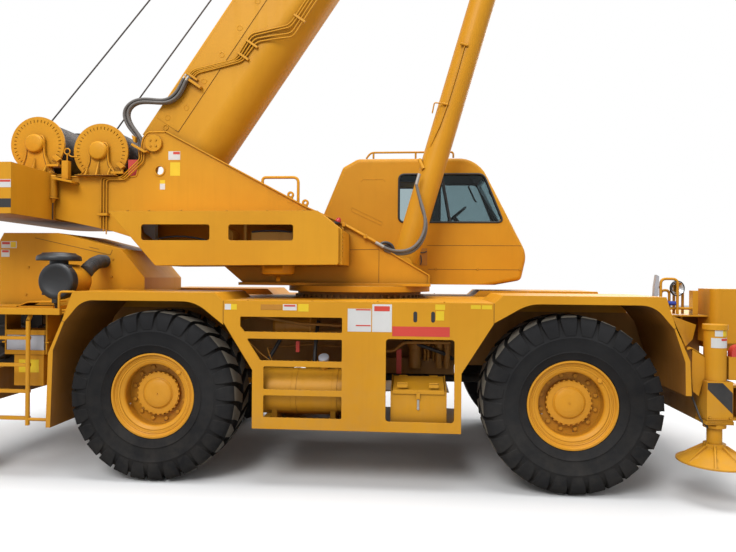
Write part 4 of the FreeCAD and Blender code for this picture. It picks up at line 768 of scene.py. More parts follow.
# %% Flat signs on the right side
SIGNS = {  # body and plane: colour, x0, z0, x1, z1 and layer of each plate
    ("turret", PLATE): [
        ("white", -2.083, 3.202, -1.950, 3.296, 1), ("red", -2.028, 3.262, -1.954, 3.290, 2),
        ("yellow", -2.062, 3.026, -1.950, 3.174, 1), ("white", -2.177, 2.876, -2.119, 2.940, 1),
        ("yellow", -2.177, 2.940, -2.119, 2.980, 1)],
    ("turret", 1.200): [
        ("white", -3.560, 2.796, -3.382, 2.876, 1), ("red", -3.540, 2.850, -3.386, 2.870, 2),
        ("black", -3.620, 2.596, -3.380, 2.684, 1)],
    ("turret", 0.405): [
        ("red", -2.561, 3.024, -2.427, 3.215, 3)],
    ("root", PANEL): [
        ("white", 0.031, 1.436, 0.244, 1.643, 1), ("red", 0.105, 1.628, 0.239, 1.640, 2),
        ("red", 0.105, 1.486, 0.239, 1.497, 2), ("white", 0.253, 1.436, 0.430, 1.685, 1),
        ("red", 0.271, 1.623, 0.411, 1.668, 2), ("red", 0.435, 1.400, 0.948, 1.488, 1),
        ("yellow", 0.818, 1.641, 0.905, 1.689, 1), ("yellow", 0.824, 1.546, 0.897, 1.630, 1),
        ("yellow", 1.132, 1.652, 1.220, 1.687, 1), ("yellow", 1.230, 1.651, 1.318, 1.687, 1),
        ("white", -0.564, 1.621, -0.437, 1.676, 1), ("red", -0.552, 1.655, -0.449, 1.670, 2),
        ("yellow", -0.423, 1.611, -0.327, 1.680, 1), ("white", -1.105, 1.621, -1.048, 1.673, 1),
        ("yellow", -1.048, 1.621, -0.992, 1.673, 1)],
    ("root", HOOD): [
        ("white", -3.960, 2.221, -3.780, 2.296, 1), ("red", -3.950, 2.262, -3.860, 2.288, 2),
        ("yellow", -3.850, 2.228, -3.790, 2.290, 2), ("white", -3.960, 2.123, -3.863, 2.202, 1),
        ("red", -3.950, 2.172, -3.872, 2.196, 2)],
    ("root", 1.300): [
        ("yellow", -3.215, 0.975, -3.010, 1.100, 1)],
}
COLOURS = {"white": "white_plate", "yellow": "label_yellow", "red": "label_red", "black": "label_black"}
groups = {}
for (body, plane), plates in SIGNS.items():
    for colour, x0, z0, x1, z1, layer in plates:
        group = groups.setdefault((body, colour), Gather())
        group.block(at(x0, -plane - 0.0012 * layer, z0), at(x1, -plane, z1))


def arc_plate(gather, middle, radius, first, last, z0, z1, rise):
    """A thin plate bent round an upright cylinder, between two angles measured from -Y."""
    turns = [math.radians(first + (last - first) * i / 10) for i in range(11)]
    ways = [Vector((math.sin(a), -math.cos(a), 0)) for a in turns]
    outline = [middle + way * (radius + rise) for way in ways] + [middle + way * (radius - 0.001)
                                                                  for way in reversed(ways)]
    gather.prism([p + UP * z0 for p in outline], UP * (z1 - z0))


def jack_middle(corner):
    low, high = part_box(f"jack_{corner}")
    return (low.x + high.x) / 2


sleeve = Vector((jack_middle("front_right"), -1.405, 0))
SLEEVE_SIGNS = [  # colour, first and last angle, low and high edge, rise
    ("white", -26, 14, 1.440, 1.495, 0.0015), ("yellow", 14, 42, 1.440, 1.495, 0.0015),
    ("white", -44, 48, 1.340, 1.426, 0.0015), ("red", 6, 46, 1.402, 1.422, 0.0025)]
jack_signs = {"white": Gather(), "yellow": Gather(), "red": Gather()}
for colour, *shape in SLEEVE_SIGNS:
    arc_plate(jack_signs[colour], sleeve, 0.092, *shape)
for colour, group in jack_signs.items():
    group.done(f"jack_sign_{colour}", "beam_front_right", COLOURS[colour])
for (body, colour), group in groups.items():
    group.done(f"signs_{colour}_{body}", body, COLOURS[colour])


def pill(gather, x, z0, z1, half, plane, depth=0.0015):
    """A thin upright shape with round ends, as a slot seen from the front."""
    points = []
    for centre, start in ((z1 - half, 0), (z0 + half, math.pi)):
        for i in range(9):
            a = start + math.pi * i / 8
            points.append(at(x + half * math.cos(a), plane, centre + half * math.sin(a)))
    gather.prism(points, Vector((0, math.copysign(depth, plane), 0)))


# Painted shade: black pills on the side panels stand for the dark inside of their slot openings.
slot_shades = Gather()
for plane in (-PANEL, PANEL):
    for x in (0.640, 0.799):
        pill(slot_shades, x, 1.527, 1.624, 0.017, plane)
slot_shades.done("panel_slots", "root", "label_black")

# %% Warning stripes on the outrigger ends
for corner, (_, side) in WHEEL_PLACES.items():
    middle, out = jack_middle(corner), Vector((0, side, 0))

    def on_end(dx, z):
        return Vector((middle + dx, side * 1.502, z))

    outline = [on_end(*p) for p in ((-0.104, 1.040), (0.020, 1.040), (0.104, 0.955), (0.104, 0.775), (-0.104, 0.985))]
    Gather().prism(outline, out * 0.0015).done(f"stripe_{corner}", f"beam_{corner}", "label_black")
    bolts(f"end_bolts_{corner}", f"beam_{corner}", [(on_end(dx, 0.74), out) for dx in (-0.085, 0.085)], 0.009)
print("signs", sum(len(plates) for plates in SIGNS.values()))

# %% [markdown]
# ## Seams and edges
# Folded plates meet in thin dark lines, and thick edges carry a bead of weld. Both are slim bars laid on the surface,
# half sunk in it, which costs far fewer faces than a groove cut in the plate.

# %% Dark seams
SEAM_RISE = 0.0005
RIGHT, LEFT, BOTH = (-1,), (1,), (-1, 1)
SEAMS = [  # body, plane, sides, points in x and z
    ("root", PANEL, BOTH, [(-1.120, 1.500), (-1.120, 1.702)]),
    ("root", PANEL, BOTH, [(1.337, 1.515), (1.337, 1.702)]),
    ("root", PANEL, RIGHT, [(-2.672, 1.500), (-2.640, 1.484)]),
    ("root", PANEL, RIGHT, [(2.896, 1.503), (2.880, 1.497)]),
    ("root", HOOD, BOTH, [(-3.568, 2.335), (-2.700, 2.150), (-2.678, 2.205)]),
    ("root", HOOD, RIGHT, [(-2.942, 2.236), (-2.830, 2.212)]),
    ("turret", PLATE, BOTH, [(-0.154, 2.220), (0.248, 2.226), (0.247, 1.870)]),
    ("turret", -CAB_RIGHT, RIGHT, [(0.777, 2.320), (1.900, 2.320)]),
    ("turret", -CAB_RIGHT, RIGHT, [(0.790, 2.030), (1.904, 2.030)]),
    ("turret", CAB_LEFT, LEFT, [(0.950, 2.320), (1.900, 2.320)]),
    ("turret", CAB_LEFT, LEFT, [(0.950, 2.030), (1.904, 2.030)]),
]
for body in ("root", "turret"):
    paths = [sheet(side * (plane + SEAM_RISE), *points) for owner, plane, sides, points in SEAMS if owner == body
             for side in sides]
    tube(paths, f"seams_{body}", body, "seam_shade", 0.0022, 0.01, 2)

# %% Weld beads and ridges
tail_edge = [(-3.378, 3.020), (-2.441, 3.020), (-2.376, 3.430), (-2.320, 3.508), (-2.120, 3.508)]
tube([sheet(side * 0.452, *tail_edge) for side in BOTH], "tail_beads", "turret", "yellow_enamel", 0.009, 0.03)
ridges = [[(-0.030, 3.100), (-0.018, 3.125), (0.243, 3.125), (0.255, 3.100)], [(-0.148, 2.780), (0.230, 2.603)],
          [(-0.148, 2.780), (-0.160, 2.740), (0.220, 2.560), (0.230, 2.603)]]
tube([sheet(CAB_RIGHT, *line) for line in ridges], "cab_ridges", "turret", "yellow_enamel", 0.0035, 0.02)
plug_rows = [(0.528 + 0.355 * i, -0.015) for i in range(24)] + [(0.315, 0.101), (0.214, 0.059)]
for hand, side in HANDS:
    plugs = Gather()
    for along, across in plug_rows:
        plugs.turned(on_boom(along, side * 0.329, across), Vector((0, side, 0)),
                     [(0.021, -0.001), (0.025, 0.0030), (0.030, 0.0030), (0.034, -0.001)], 28)
    plugs.done(f"plug_welds_{hand}", "boom_base", "yellow_enamel")
doubler = Gather()
for y in (-0.329, 0.325):
    corners = [(0.250, 0.205), (0.250, -0.090), (9.300, -0.090), (9.300, 0.205)]
    doubler.prism([on_boom(s, y, t) for s, t in corners], Vector((0, 0.004, 0)))
doubler.done("boom_doublers", "boom_base", "yellow_enamel")
lines = [[on_boom(s, side * 0.3285, t) for s, t in ((0.252, -0.055), (0.252, -0.090), (9.3, -0.090))]
         for side in BOTH]
tube(lines, "boom_seams", "boom_base", "seam_shade", 0.0022, 0.01, 2)

# %% [markdown]
# ## Boom pipes, hoses and ropes
# Four pipes climb the boom's right side from the hose ends, jog forward, and run on to the head. The hoses loop from
# the boom's foot down to the turret. Each is one bent line cut in two lengths, since a mesh can ride on one body only:
# the upper length follows the boom, the lower one the turret. The winch ropes are cut in two in the same way.

# %% Pipes and their clamps
PIPES = [
    [(-1.904, 4.169), (-1.850, 4.230), (-1.659, 4.271), (-1.388, 4.333), (-1.343, 4.380), (-1.201, 4.612),
     (-0.995, 4.655),
     (-0.772, 4.702), (-0.707, 4.788), (-0.588, 4.969)],
    [(-1.891, 4.155), (-1.837, 4.218), (-1.650, 4.257), (-1.379, 4.318), (-1.318, 4.371), (-1.183, 4.588),
     (-0.981, 4.631),
     (-0.754, 4.676), (-0.679, 4.779), (-0.561, 4.955)],
    [(-1.872, 4.142), (-1.818, 4.203), (-1.631, 4.243), (-1.316, 4.325), (-1.262, 4.398), (-1.158, 4.556),
     (-0.968, 4.584),
     (-0.745, 4.610), (-0.645, 4.760), (-0.532, 4.935)],
    [(-1.855, 4.130), (-1.802, 4.190), (-1.619, 4.230), (-1.298, 4.308), (-1.235, 4.385), (-1.135, 4.520),
     (-0.958, 4.548),
     (-0.727, 4.570), (-0.610, 4.750), (-0.500, 4.915)],
]
climb = Vector((math.cos(BOOM_ANGLE), 0, math.sin(BOOM_ANGLE)))
pipe_paths = []
for line in PIPES:
    path = sheet(-0.342, *line)
    pipe_paths.append(path + [path[-1] + climb * 6.2])
tube(pipe_paths, "boom_pipes", "boom_base", "yellow_enamel", 0.0085, 0.05)

boom_bits = Gather()


def boom_bar(x, z, along, across, low, high):
    """A bar on the boom's side round a point, measured along and across the boom."""
    side_way = Vector((-climb.z, 0, climb.x))
    middle = at(x, 0, z)
    corners = ((-along, -across), (along, -across), (along, across), (-along, across))
    points = [middle + climb * a + side_way * b for a, b in corners]
    boom_bits.prism([p + Vector((0, low, 0)) for p in points], Vector((0, high - low, 0)))


for x, z in ((-1.185, 4.500), (-0.655, 4.770), (-1.285, 4.365), (-1.862, 4.150)):
    boom_bar(x, z, 0.012, 0.075, -0.356, -0.326)
for i in range(4):
    spot = Vector((-0.545, 0, 4.944)) + climb * (1.2 + 1.45 * i)
    boom_bar(spot.x, spot.z, 0.014, 0.075, -0.356, -0.326)
boom_bar(-1.846, 4.079, 0.014, 0.115, -0.390, -0.326)
boom_bar(-1.710, 4.330, 0.030, 0.028, -0.3265, -0.325)
boom_bits.done("boom_clamps", "boom_base", "yellow_enamel")

# %% Hoses at the boom's foot
PART_X = -2.30  # the upper lengths ride on the boom as far as here
LOOP = [(-1.950, 4.115), (-1.984, 4.037), (-2.040, 3.940), (-2.156, 3.871), (-2.303, 3.895), (-2.487, 3.903),
        (-2.606, 3.824),
        (-2.640, 3.720), (-2.580, 3.583), (-2.475, 3.480), (-2.442, 3.400), (-2.440, 3.345)]
INNER = [(-1.915, 4.090), (-1.950, 4.010), (-2.000, 3.910), (-2.120, 3.840), (-2.300, 3.858), (-2.470, 3.866),
         (-2.560, 3.800),
         (-2.585, 3.710), (-2.540, 3.600), (-2.435, 3.480), (-2.405, 3.400), (-2.405, 3.345)]
upper, lower, upper_ends, lower_ends = [], [], [], []
for line, planes in ((LOOP, (-0.351, -0.381)), (INNER, (-0.366, -0.396))):
    for y in planes:
        high, low = parted(bent(sheet(y, *line)), lambda p: p.x - SHIFT < PART_X)
        upper.append(high)
        lower.append(low)
        (x0, z0), (x1, z1) = line[0], line[-1]
        upper_ends.append([at(x0, y, z0), at(x0 + 0.03, y + 0.01, z0 + 0.05)])
        lower_ends.append(sheet(y, (x1, z1 + 0.03), (x1 + 0.002, z1 - 0.05)))
tube(upper, "foot_hoses", "boom_base", "faded_hose", 0.0165, 0)
tube(lower, "foot_hoses_low", "turret", "faded_hose", 0.0165, 0)
tube(upper_ends, "foot_hose_ends", "boom_base", "faded_steel", 0.0155)
tube(lower_ends, "foot_hose_ends_low", "turret", "faded_steel", 0.0155)

# %% Winch ropes
for hand, (x, z) in DRUM_PLACES.items():
    grow(rope_recipe, f"rope_on_{hand}", f"drum_{hand}", "wire_rope", Turns=31.0, Radius=0.268, Rope_Radius=0.0118,
         Width=0.750, Centre=tuple(at(x, -0.375, z)), Axis=(0.0, 1.0, 0.0))
ROPES = {"main": ((-0.742, 1.413), (0.600, 1.274), -0.06), "aux": ((-0.410, 0.755), (0.600, 0.710), 0.075)}
ROPE = "wire_rope", 0.009
for hand, (start, join, y) in ROPES.items():
    meet = on_boom(join[0], y, join[1])
    tube([[on_boom(start[0], y, start[1]), meet]], f"rope_low_{hand}", "turret", *ROPE)
    tube([[meet, on_boom(10.78, y, 0.262)]], f"rope_high_{hand}", "boom_base", *ROPE)
over = []
for _, _, y in ROPES.values():
    bend = [on_boom(10.8 + 0.188 * math.sin(a), y, 0.06 + 0.200 * math.cos(a)) for a in (0.0, 0.4, 0.8, 1.2, 1.5)]
    over.append(bend + [on_boom(11.188, y, -0.60)])
tube(over, "rope_over_head", "boom_fly", *ROPE, 0.02)
print("ropes set")

# %% [markdown]
# ## Turret fittings
# Along the tail stand the lock post, the winch brackets and three pipes. The slope carries a grab rail, two lifting
# eyes, a red lamp and the two pipes that feed the lift cylinder's hoses. These are cut in two lengths as well. Each
# piece is a plain block, turned body or bent bar, as its real one is sawn, turned or bent.

# %% Rails, eyes and lamp on the slope
slope_rail = sheet(-0.436, (-1.030, 2.925), (-1.030, 3.005), (-0.636, 3.005), (-0.636, 2.715))
tube([slope_rail], "slope_rail", "turret", "yellow_enamel", 0.016, 0.06, 4)
eyes = Gather()
for x, z in ((-0.718, 2.815), (-0.556, 2.728)):
    eyes.turned(at(x, -0.452, z), OUT_LEFT, [(0.015, 0), (0.037, 0), (0.037, 0.024), (0.015, 0.024), (0.015, 0)], 24)
    eyes.block(at(x - 0.026, -0.4515, z - 0.090), at(x + 0.026, -0.4285, z - 0.026))
eyes.done("lifting_eyes", "turret", "yellow_enamel")
Gather().block(at(-0.235, -0.500, 2.500), at(-0.175, -0.452, 2.520)).done("lamp_seat", "turret", "black_plastic")
Gather().turned(at(-0.195, -0.476, 2.520), Vector((0.35, 0, 0.94)),
                [(0, 0), (0.030, 0), (0.029, 0.020), (0.018, 0.042), (0, 0.050)], 24).done("slope_lamp", "turret",
                                                                                           "red_lens")
slope_pipes = [sheet(y, (-0.150, 2.502 + rise), (0.215, 2.300 + rise)) for y, rise in ((-0.490, 0), (-0.468, 0.010))]
tube(slope_pipes, "slope_pipes", "turret", "yellow_enamel", 0.010)
clips = Gather()
for x, z in ((-0.130, 2.485), (0.100, 2.358)):
    clips.block(at(x - 0.016, -0.506, z - 0.018), at(x + 0.016, -0.450, z + 0.026))
clips.done("pipe_holders", "turret", "yellow_enamel")

# %% Hoses to the lift cylinder
FEED = [(0.294, -0.490, 2.252), (0.370, -0.485, 2.215), (0.458, -0.470, 2.200), (0.602, -0.430, 2.225),
        (0.700, -0.390, 2.340),
        (0.745, -0.350, 2.480), (0.735, -0.310, 2.620), (0.690, -0.270, 2.760), (0.655, -0.235, 2.880),
        (0.640, -0.215, 2.960)]
second = [(x + 0.012, y + 0.028, z - 0.030) for x, y, z in FEED[:-3]] + [(0.700, -0.250, 2.680),
                                                                         (0.672, -0.215, 2.840)]
halves = [parted(bent([at(*p) for p in line]), lambda p: p.z > 2.45) for line in (FEED, second)]
tube([low for low, _ in halves], "feed_hoses", "turret", "faded_hose", 0.017, 0)
tube([high for _, high in halves], "feed_hoses_high", "lift_barrel", "faded_hose", 0.017, 0)
tube([sheet(-0.490, (0.212, 2.298), (0.300, 2.249))], "feed_ends", "turret", "faded_steel", 0.019)
tube([[at(0.640, -0.215, 2.955), at(0.672, -0.205, 3.075)]], "feed_ends_high", "lift_barrel", "faded_steel", 0.019)
clamps = Gather()
clamps.bar(at(1.117, -0.152, 4.527), at(1.197, -0.152, 4.504), 0.016)
clamps.bar(at(0.930, -0.148, 3.864), at(0.985, -0.152, 3.852), 0.014)
clamps.bar(at(0.672, -0.060, 3.262), at(0.720, -0.118, 3.142), 0.022)
clamps.done("barrel_clamps", "lift_barrel", "yellow_enamel")
BARREL_PIPES = [[(1.170, -0.150, 4.534), (1.087, -0.150, 4.227), (0.977, -0.150, 3.855), (0.890, -0.146, 3.612),
                 (0.802, -0.120, 3.420), (0.770, -0.080, 3.330)],
                [(0.977, -0.153, 3.857), (0.835, -0.118, 3.886), (0.812, -0.105, 3.770)]]
tube(places(BARREL_PIPES), "barrel_pipes", "lift_barrel", "yellow_enamel", 0.0075, 0.02)
FOOT_LOOPS = [[(0.225, -0.300, 2.240), (0.250, -0.270, 2.305), (0.320, -0.250, 2.325), (0.395, -0.235, 2.280),
               (0.400, -0.220, 2.205)],
              [(0.235, -0.245, 2.220), (0.280, -0.235, 2.300), (0.350, -0.225, 2.290), (0.385, -0.215, 2.220)]]
tube(places(FOOT_LOOPS), "lift_foot_hoses", "turret", "hose_rubber", 0.017, smooth=True)

# %% What shows in the slot under the valve cover
duct_outline = sheet(-0.800, (-2.190, 2.375), (-2.077, 2.290), (-2.077, 2.520), (-2.240, 2.520))
Gather().prism(duct_outline, Vector((0, 0.08, 0))).done("slot_duct", "turret", "duct_grey")
# Painted light: the parts in the slot take a brighter copy of the yellow.
slot_bits = Gather()
slot_bits.bar(at(-1.085, -0.900, 2.100), at(-1.085, -0.900, 2.520), 0.018)
slot_bits.block(at(-1.010, -0.950, 2.120), at(-0.560, -0.700, 2.372))
slot_bits.turned(at(-1.260, -0.980, 2.330), OUT_LEFT, [(0, 0), (0.075, 0), (0.075, 0.200), (0, 0.200)], 28)
slot_bits.done("slot_bits", "turret", "slot_paint")
tube([sheet(-0.950, (-1.980, 2.300), (-1.800, 2.350), (-1.520, 2.330), (-1.380, 2.240)),
      sheet(-0.960, (-1.000, 2.372), (-0.880, 2.392), (-0.700, 2.388), (-0.600, 2.372))],
     "slot_hoses", "turret", "hose_rubber", 0.010, smooth=True)

# %% Tail fittings: lock post, winch brackets, upright cylinder
tail, post_foot = Gather(), at(-3.375, -0.505, 2.768)
tail.block(at(-3.268, -0.520, 2.985), at(-3.196, -0.455, 3.190))
tail.prism(sheet(-0.60, (-3.331, 2.975), (-3.103, 2.930), (-3.103, 2.955), (-3.331, 3.000)), Vector((0, 0.145, 0)))
tail.turned(post_foot, UP, [(0, 0), (0.058, 0), (0.058, 0.016), (0.044, 0.016), (0.044, 0.250), (0.030, 0.262),
                            (0, 0.262)], 28)
tail.turned(post_foot - UP * 0.046, UP, [(0, 0), (0.012, 0), (0.034, 0.046), (0, 0.046)], 24)
tail.block(at(-3.400, -0.470, 2.800), at(-3.350, -0.450, 2.960))
for x, z in DRUM_PLACES.values():
    claw = ((0.205, -0.150), (0.245, -0.125), (0.300, -0.175), (0.262, -0.205))
    tail.prism(sheet(-0.470, *((x + dx, z + dz) for dx, dz in claw)), Vector((0, 0.052, 0)))
    tail.block(at(x + 0.160, -0.500, z - 0.262), at(x + 0.300, -0.400, z - 0.236))
tail.block(at(-2.871, -0.500, 2.583), at(-2.752, -0.450, 2.612))
arm = sheet(-0.53, (-2.475, 3.352), (-2.330, 3.270), (-2.300, 3.274), (-2.292, 3.290), (-2.320, 3.292),
            (-2.465, 3.374))
tail.prism(arm, Vector((0, 0.08, 0)))
tail.prism(sheet(-0.450, (-2.505, 3.480), (-2.462, 3.462), (-2.462, 3.395), (-2.486, 3.410)), Vector((0, 0.045, 0)))
tail.done("tail_fittings", "turret", "yellow_enamel")
tube([sheet(-0.505, (-3.375, 2.730), (-3.375, 2.540))], "tail_cable", "turret", "black_iron", 0.006)
ring = [(-3.233 + 0.032 * math.cos(a), 3.300 + 0.032 * math.sin(a))
        for a in [math.pi * (1.35 + i / 8) for i in range(17)]]
loops = [sheet(-0.470, *ring), sheet(-0.470, (-3.213, 3.262), (-3.190, 3.243), (-3.110, 3.237)),
         sheet(-0.470, (-3.233, 3.268), (-3.233, 3.190))]
tube(loops, "ring_handle", "turret", "yellow_enamel", 0.007, 0.01)
hooks = [sheet(-0.445, (x + 0.205, z - 0.140), (x + 0.262, z - 0.190), (x + 0.270, z - 0.255))
         for x, z in DRUM_PLACES.values()]
tube(hooks, "rope_guides", "turret", "yellow_enamel", 0.015, 0.04, 4)
tail_pipes = []
for i in range(3):
    dx, dz, low = 0.032 * i, -0.012 * i, 2.440 - 0.03 * i
    line = sheet(-0.474, (-2.838 + dx, low), (-2.838 + dx, 3.006 + dz), (-2.610 + dx * 0.7, 3.008 + dz),
                 (-2.400 + dx * 0.7, 3.205 + dz))
    tail_pipes.append(line + [at(-2.412 + dx, -0.470, 3.330)])
tube(tail_pipes, "tail_pipes", "turret", "yellow_enamel", 0.007, 0.03)

# %% Bolts, beads, seams and painted shade lines on the turret
seeds = [(at(-0.070, -1.094, 2.130 + 0.038 * i), AHEAD) for i in range(8)]
seeds += [(at(x, -1.155, 2.565), UP) for x in (-2.20, -1.98, -1.66, -1.20, -0.80, -0.45)]
for side in BOTH:
    seeds += [(at(FOOT_X + 0.045 * math.cos(a), side * 0.488, FOOT_Z + 0.045 * math.sin(a)), Vector((0, side, 0)))
              for a in (0.8, 2.37, 3.94, 5.5)]
seeds += [(at(x, 0.479, 2.032), OUT_RIGHT) for x in (0.886, 1.387, 1.890)]
bolts("turret_bolts", "turret", seeds, 0.010)
foot_bolts, stand_beads, stand_seams = [], [], []
for (x, z), floor_z in zip(DRUM_PLACES.values(), (3.062, 3.032)):
    half = [(0.098, z + 0.092), (0.100, z - 0.060), (0.112, z - 0.150), (0.160, floor_z + 0.055), (0.222, floor_z)]
    stand = [(-dx, h) for dx, h in reversed(half)] + half
    # Painted shade: a dark line just inside each stand's bead shows the stand's relief; a dark seam line runs along its
    # foot.
    inset = [(x + dx * 0.90, h - 0.012) for dx, h in stand[1:-1]]
    for side in BOTH:
        foot_bolts += [(at(x + dx, side * 0.492, floor_z), UP) for dx in (-0.205, -0.068, 0.068, 0.205)]
        stand_beads.append(sheet(side * 0.451, *((x + dx, h) for dx, h in stand)))
        stand_seams.append(sheet(side * 0.4505, *inset))
        stand_seams.append(sheet(side * 0.5295, (x - 0.232, floor_z - 0.007), (x + 0.232, floor_z - 0.007)))
bolts("stand_bolts", "turret", foot_bolts, 0.014)
tube(stand_beads, "stand_beads", "turret", "yellow_enamel", 0.009, 0.05, 3)
tube(stand_seams, "stand_seams", "turret", "seam_shade", 0.0025, 0.04, 2)
ring_marks("ring_bolts", "root", at(0, 0, 1.722), UP, 60, 0.716, (0.022, 0.022, 0.030), "under_paint")
# Painted shade: black discs stand for the dark inside of the skirt's holes.
hole_shades = Gather()
for turn in range(0, 360, 45):
    a = math.radians(turn - 90 + 3)
    out = Vector((math.cos(a), math.sin(a), 0))
    hole_shades.turned(at(0, 0, 1.803) + out * 0.729, out, [(0, 0.0018), (0.011, 0.0018), (0.011, 0)], 16)
hole_shades.done("skirt_holes", "turret", "label_black")
print("turret fitted")

# %% [markdown]
# ## Cab
# Black rubber holds the panes, dark controls show through them, and a rail runs along the roof. The rubber is a round
# bar that follows the rounded corners of each pane, half of it on the glass and half on the sheet.

# %% Seals round the panes
RIGHT_PANE = [(0.430, 2.602), (1.690, 2.602), (1.450, 3.186), (0.430, 3.186)]
LEFT_PANE = [(0.960, 2.602), (1.690, 2.602), (1.450, 3.186), (0.960, 3.186)]


def closed_loop(corners, radius):
    """A closed path round the corners, each rounded."""
    first, last = corners[0], corners[-1]
    start = (first + last) / 2
    return rounded_path([start] + corners + [start], radius, 6)


seal_loops = []
for corners, planes in ((RIGHT_PANE, (CAB_RIGHT, 0.524)), (LEFT_PANE, (CAB_LEFT, 1.286))):
    for y in planes:
        seal_loops.append(closed_loop(sheet(y, *corners), 0.07))
screen = [at(1.468, 0.560, 3.150), at(1.468, 1.250, 3.150), at(1.868, 1.250, 2.360), at(1.868, 0.560, 2.360)]
seal_loops.append(closed_loop(screen, 0.05))
roof_pane = [at(x, y, 3.352) for x, y in ((0.46, 0.64), (1.04, 0.64), (1.04, 1.17), (0.46, 1.17))]
seal_loops.append(closed_loop(roof_pane, 0.05))
door_window = sheet(1.371, (0.180, 2.500), (0.800, 2.500), (0.800, 3.150), (0.180, 3.150))
tube(seal_loops, "pane_seals", "turret", "black_plastic", 0.0125, 0.001)
tube([closed_loop(door_window, 0.05)], "door_seal", "cab_door", "black_plastic", 0.0125, 0.001)
posts = Gather()
posts.prism(sheet(0.488, (0.940, 3.186), (0.962, 3.186), (1.070, 2.602), (1.048, 2.602)), Vector((0, 0.016, 0)))
posts.prism(sheet(1.322, (0.980, 3.186), (1.000, 3.186), (1.106, 2.602), (1.086, 2.602)), Vector((0, -0.016, 0)))
posts.done("pane_posts", "turret", "black_plastic")

# %% Controls in the cab, the roof rail and the door's handle
inside = Gather()
inside.prism(sheet(0.640, (1.300, 1.900), (1.620, 1.900), (1.560, 2.520), (1.400, 2.600), (1.280, 2.440)),
             Vector((0, 0.520, 0)))
inside.bar(at(1.330, 0.900, 2.450), at(1.130, 0.900, 2.690), 0.030)
for y in (0.660, 1.140):
    inside.block(at(0.240, y - 0.060, 2.250), at(0.760, y + 0.060, 2.520))
    inside.bar(at(0.700, y, 2.500), at(0.730, y, 2.700), 0.010)
    inside.turned(at(0.730, y, 2.700), UP, [(0, 0), (0.022, 0.010), (0.024, 0.040), (0.012, 0.065), (0, 0.068)], 16)
inside.block(at(0.110, 0.790, 3.000), at(0.190, 1.070, 3.170))
inside.done("cab_controls", "turret", "black_plastic")
wheel_middle, column = at(1.120, 0.900, 2.702), (at(1.130, 0.900, 2.690) - at(1.330, 0.900, 2.450)).normalized()
across = column.cross(OUT_LEFT)


def on_rim(a):
    return wheel_middle + (OUT_LEFT * math.cos(a) + across * math.sin(a)) * 0.195


wheel_lines = [[on_rim(math.pi * i / 16) for i in range(33)]] + [[wheel_middle, on_rim(a)] for a in (0.3, 2.4, 4.5)]
tube(wheel_lines, "steering_wheel", "turret", "black_plastic", 0.013, 0.01)
CAB_HANDLE = [[(1.337, 1.262, 3.150), (1.337, 1.225, 3.130), (1.422, 1.225, 2.950), (1.440, 1.262, 2.950)]]
tube(places(CAB_HANDLE), "cab_handle", "turret", "black_plastic", 0.012, 0.03)
rail = [sheet(y, (0.020, 3.395), (0.075, 3.470), (1.090, 3.470), (1.090, 3.400)) for y in (0.560, 1.250)]
rail += [sheet(y, (x, 3.395), (x, 3.470)) for x in (0.110, 0.630) for y in (0.560, 1.250)]
tube(rail, "roof_rail", "turret", "yellow_enamel", 0.012, 0.05)
WIPER = [[(1.700, 0.700, 2.720), (1.560, 0.880, 3.030)], [(1.862, 0.740, 2.420), (1.700, 0.700, 2.725)]]
tube(places(WIPER), "wiper", "turret", "black_plastic", 0.007)
DOOR_HANDLE = [[(0.830, 1.365, 2.300), (0.830, 1.400, 2.300), (0.830, 1.400, 2.440), (0.830, 1.365, 2.440)]]
tube(places(DOOR_HANDLE), "door_handle", "cab_door", "black_plastic", 0.010, 0.02)
# Painted shade: a thin sheet in the darker yellow covers the recess in the cab's side.
recess = sheet(0.4785, (0.659, 2.285), (0.779, 2.285), (0.779, 2.076), (0.690, 2.076))
Gather().prism(recess, Vector((0, 0.002, 0))).done("cab_recess", "turret", "shaded_enamel")
RECESS_HOSES = [[(0.665, 0.474, 2.250), (0.720, 0.470, 2.225), (0.775, 0.474, 2.245)],
                [(0.700, 0.474, 2.200), (0.712, 0.470, 2.130), (0.700, 0.474, 2.085)]]
tube(places(RECESS_HOSES), "recess_hoses", "turret", "hose_rubber", 0.007, 0.03)
Gather().turned(at(0, 0, 1.773), UP, [(0.730, 0), (0.800, 0), (0.800, 0.061), (0.730, 0.061)], 96).done(
    "turret_skirt", "turret", "yellow_enamel")

# %% [markdown]
# ## Engine side
# The air cleaner is a drum turned in two finishes, with a clamp, latches, a drain lip, a rain cap and a ribbed duct. It
# stands for its solid. The hood carries a few bolts, and the rear deck a loop, a sloped tray and the battery's straps
# and cable.

# %% Air cleaner and battery
cleaner_end = at(-2.829, -1.340, 1.866)
END_CAP = [(0, 0.004), (0.120, 0.004), (0.126, 0), (0.160, 0), (0.172, 0.006), (0.180, 0.020), (0.180, 0.030),
           (0.176, 0.034),
           (0.180, 0.040), (0.180, 0.095), (0.150, 0.096), (0, 0.096)]
RAIN_CAP = [(0, 0.010), (0.190, 0.004), (0.204, 0), (0.208, 0.010), (0.204, 0.036), (0.196, 0.048), (0.160, 0.064),
            (0.150, 0.076),
            (0.060, 0.084), (0, 0.085)]
black = Gather()
black.turned(cleaner_end, OUT_LEFT, END_CAP, 64)
black.block(at(-2.862, -1.335, 1.655), at(-2.812, -1.275, 1.700))
black.turned(at(-2.836, -1.300, 1.602), UP, [(0, 0), (0.012, 0), (0.026, 0.050), (0, 0.052)], 16)
for turn in (0.9, 3.9):
    spot = cleaner_end + Vector((math.cos(turn), 0, math.sin(turn))) * 0.180 + OUT_LEFT * 0.05
    black.block(spot - Vector((0.012, 0.035, 0.012)), spot + Vector((0.012, 0.035, 0.012)))
black.turned(at(-2.904, -1.150, 1.975), UP, [(0.084, 0), (0.086, 0.030), (0.086, 0.100), (0, 0.100)], 40)
black.turned(at(-2.904, -1.150, 2.068), UP, RAIN_CAP, 64)
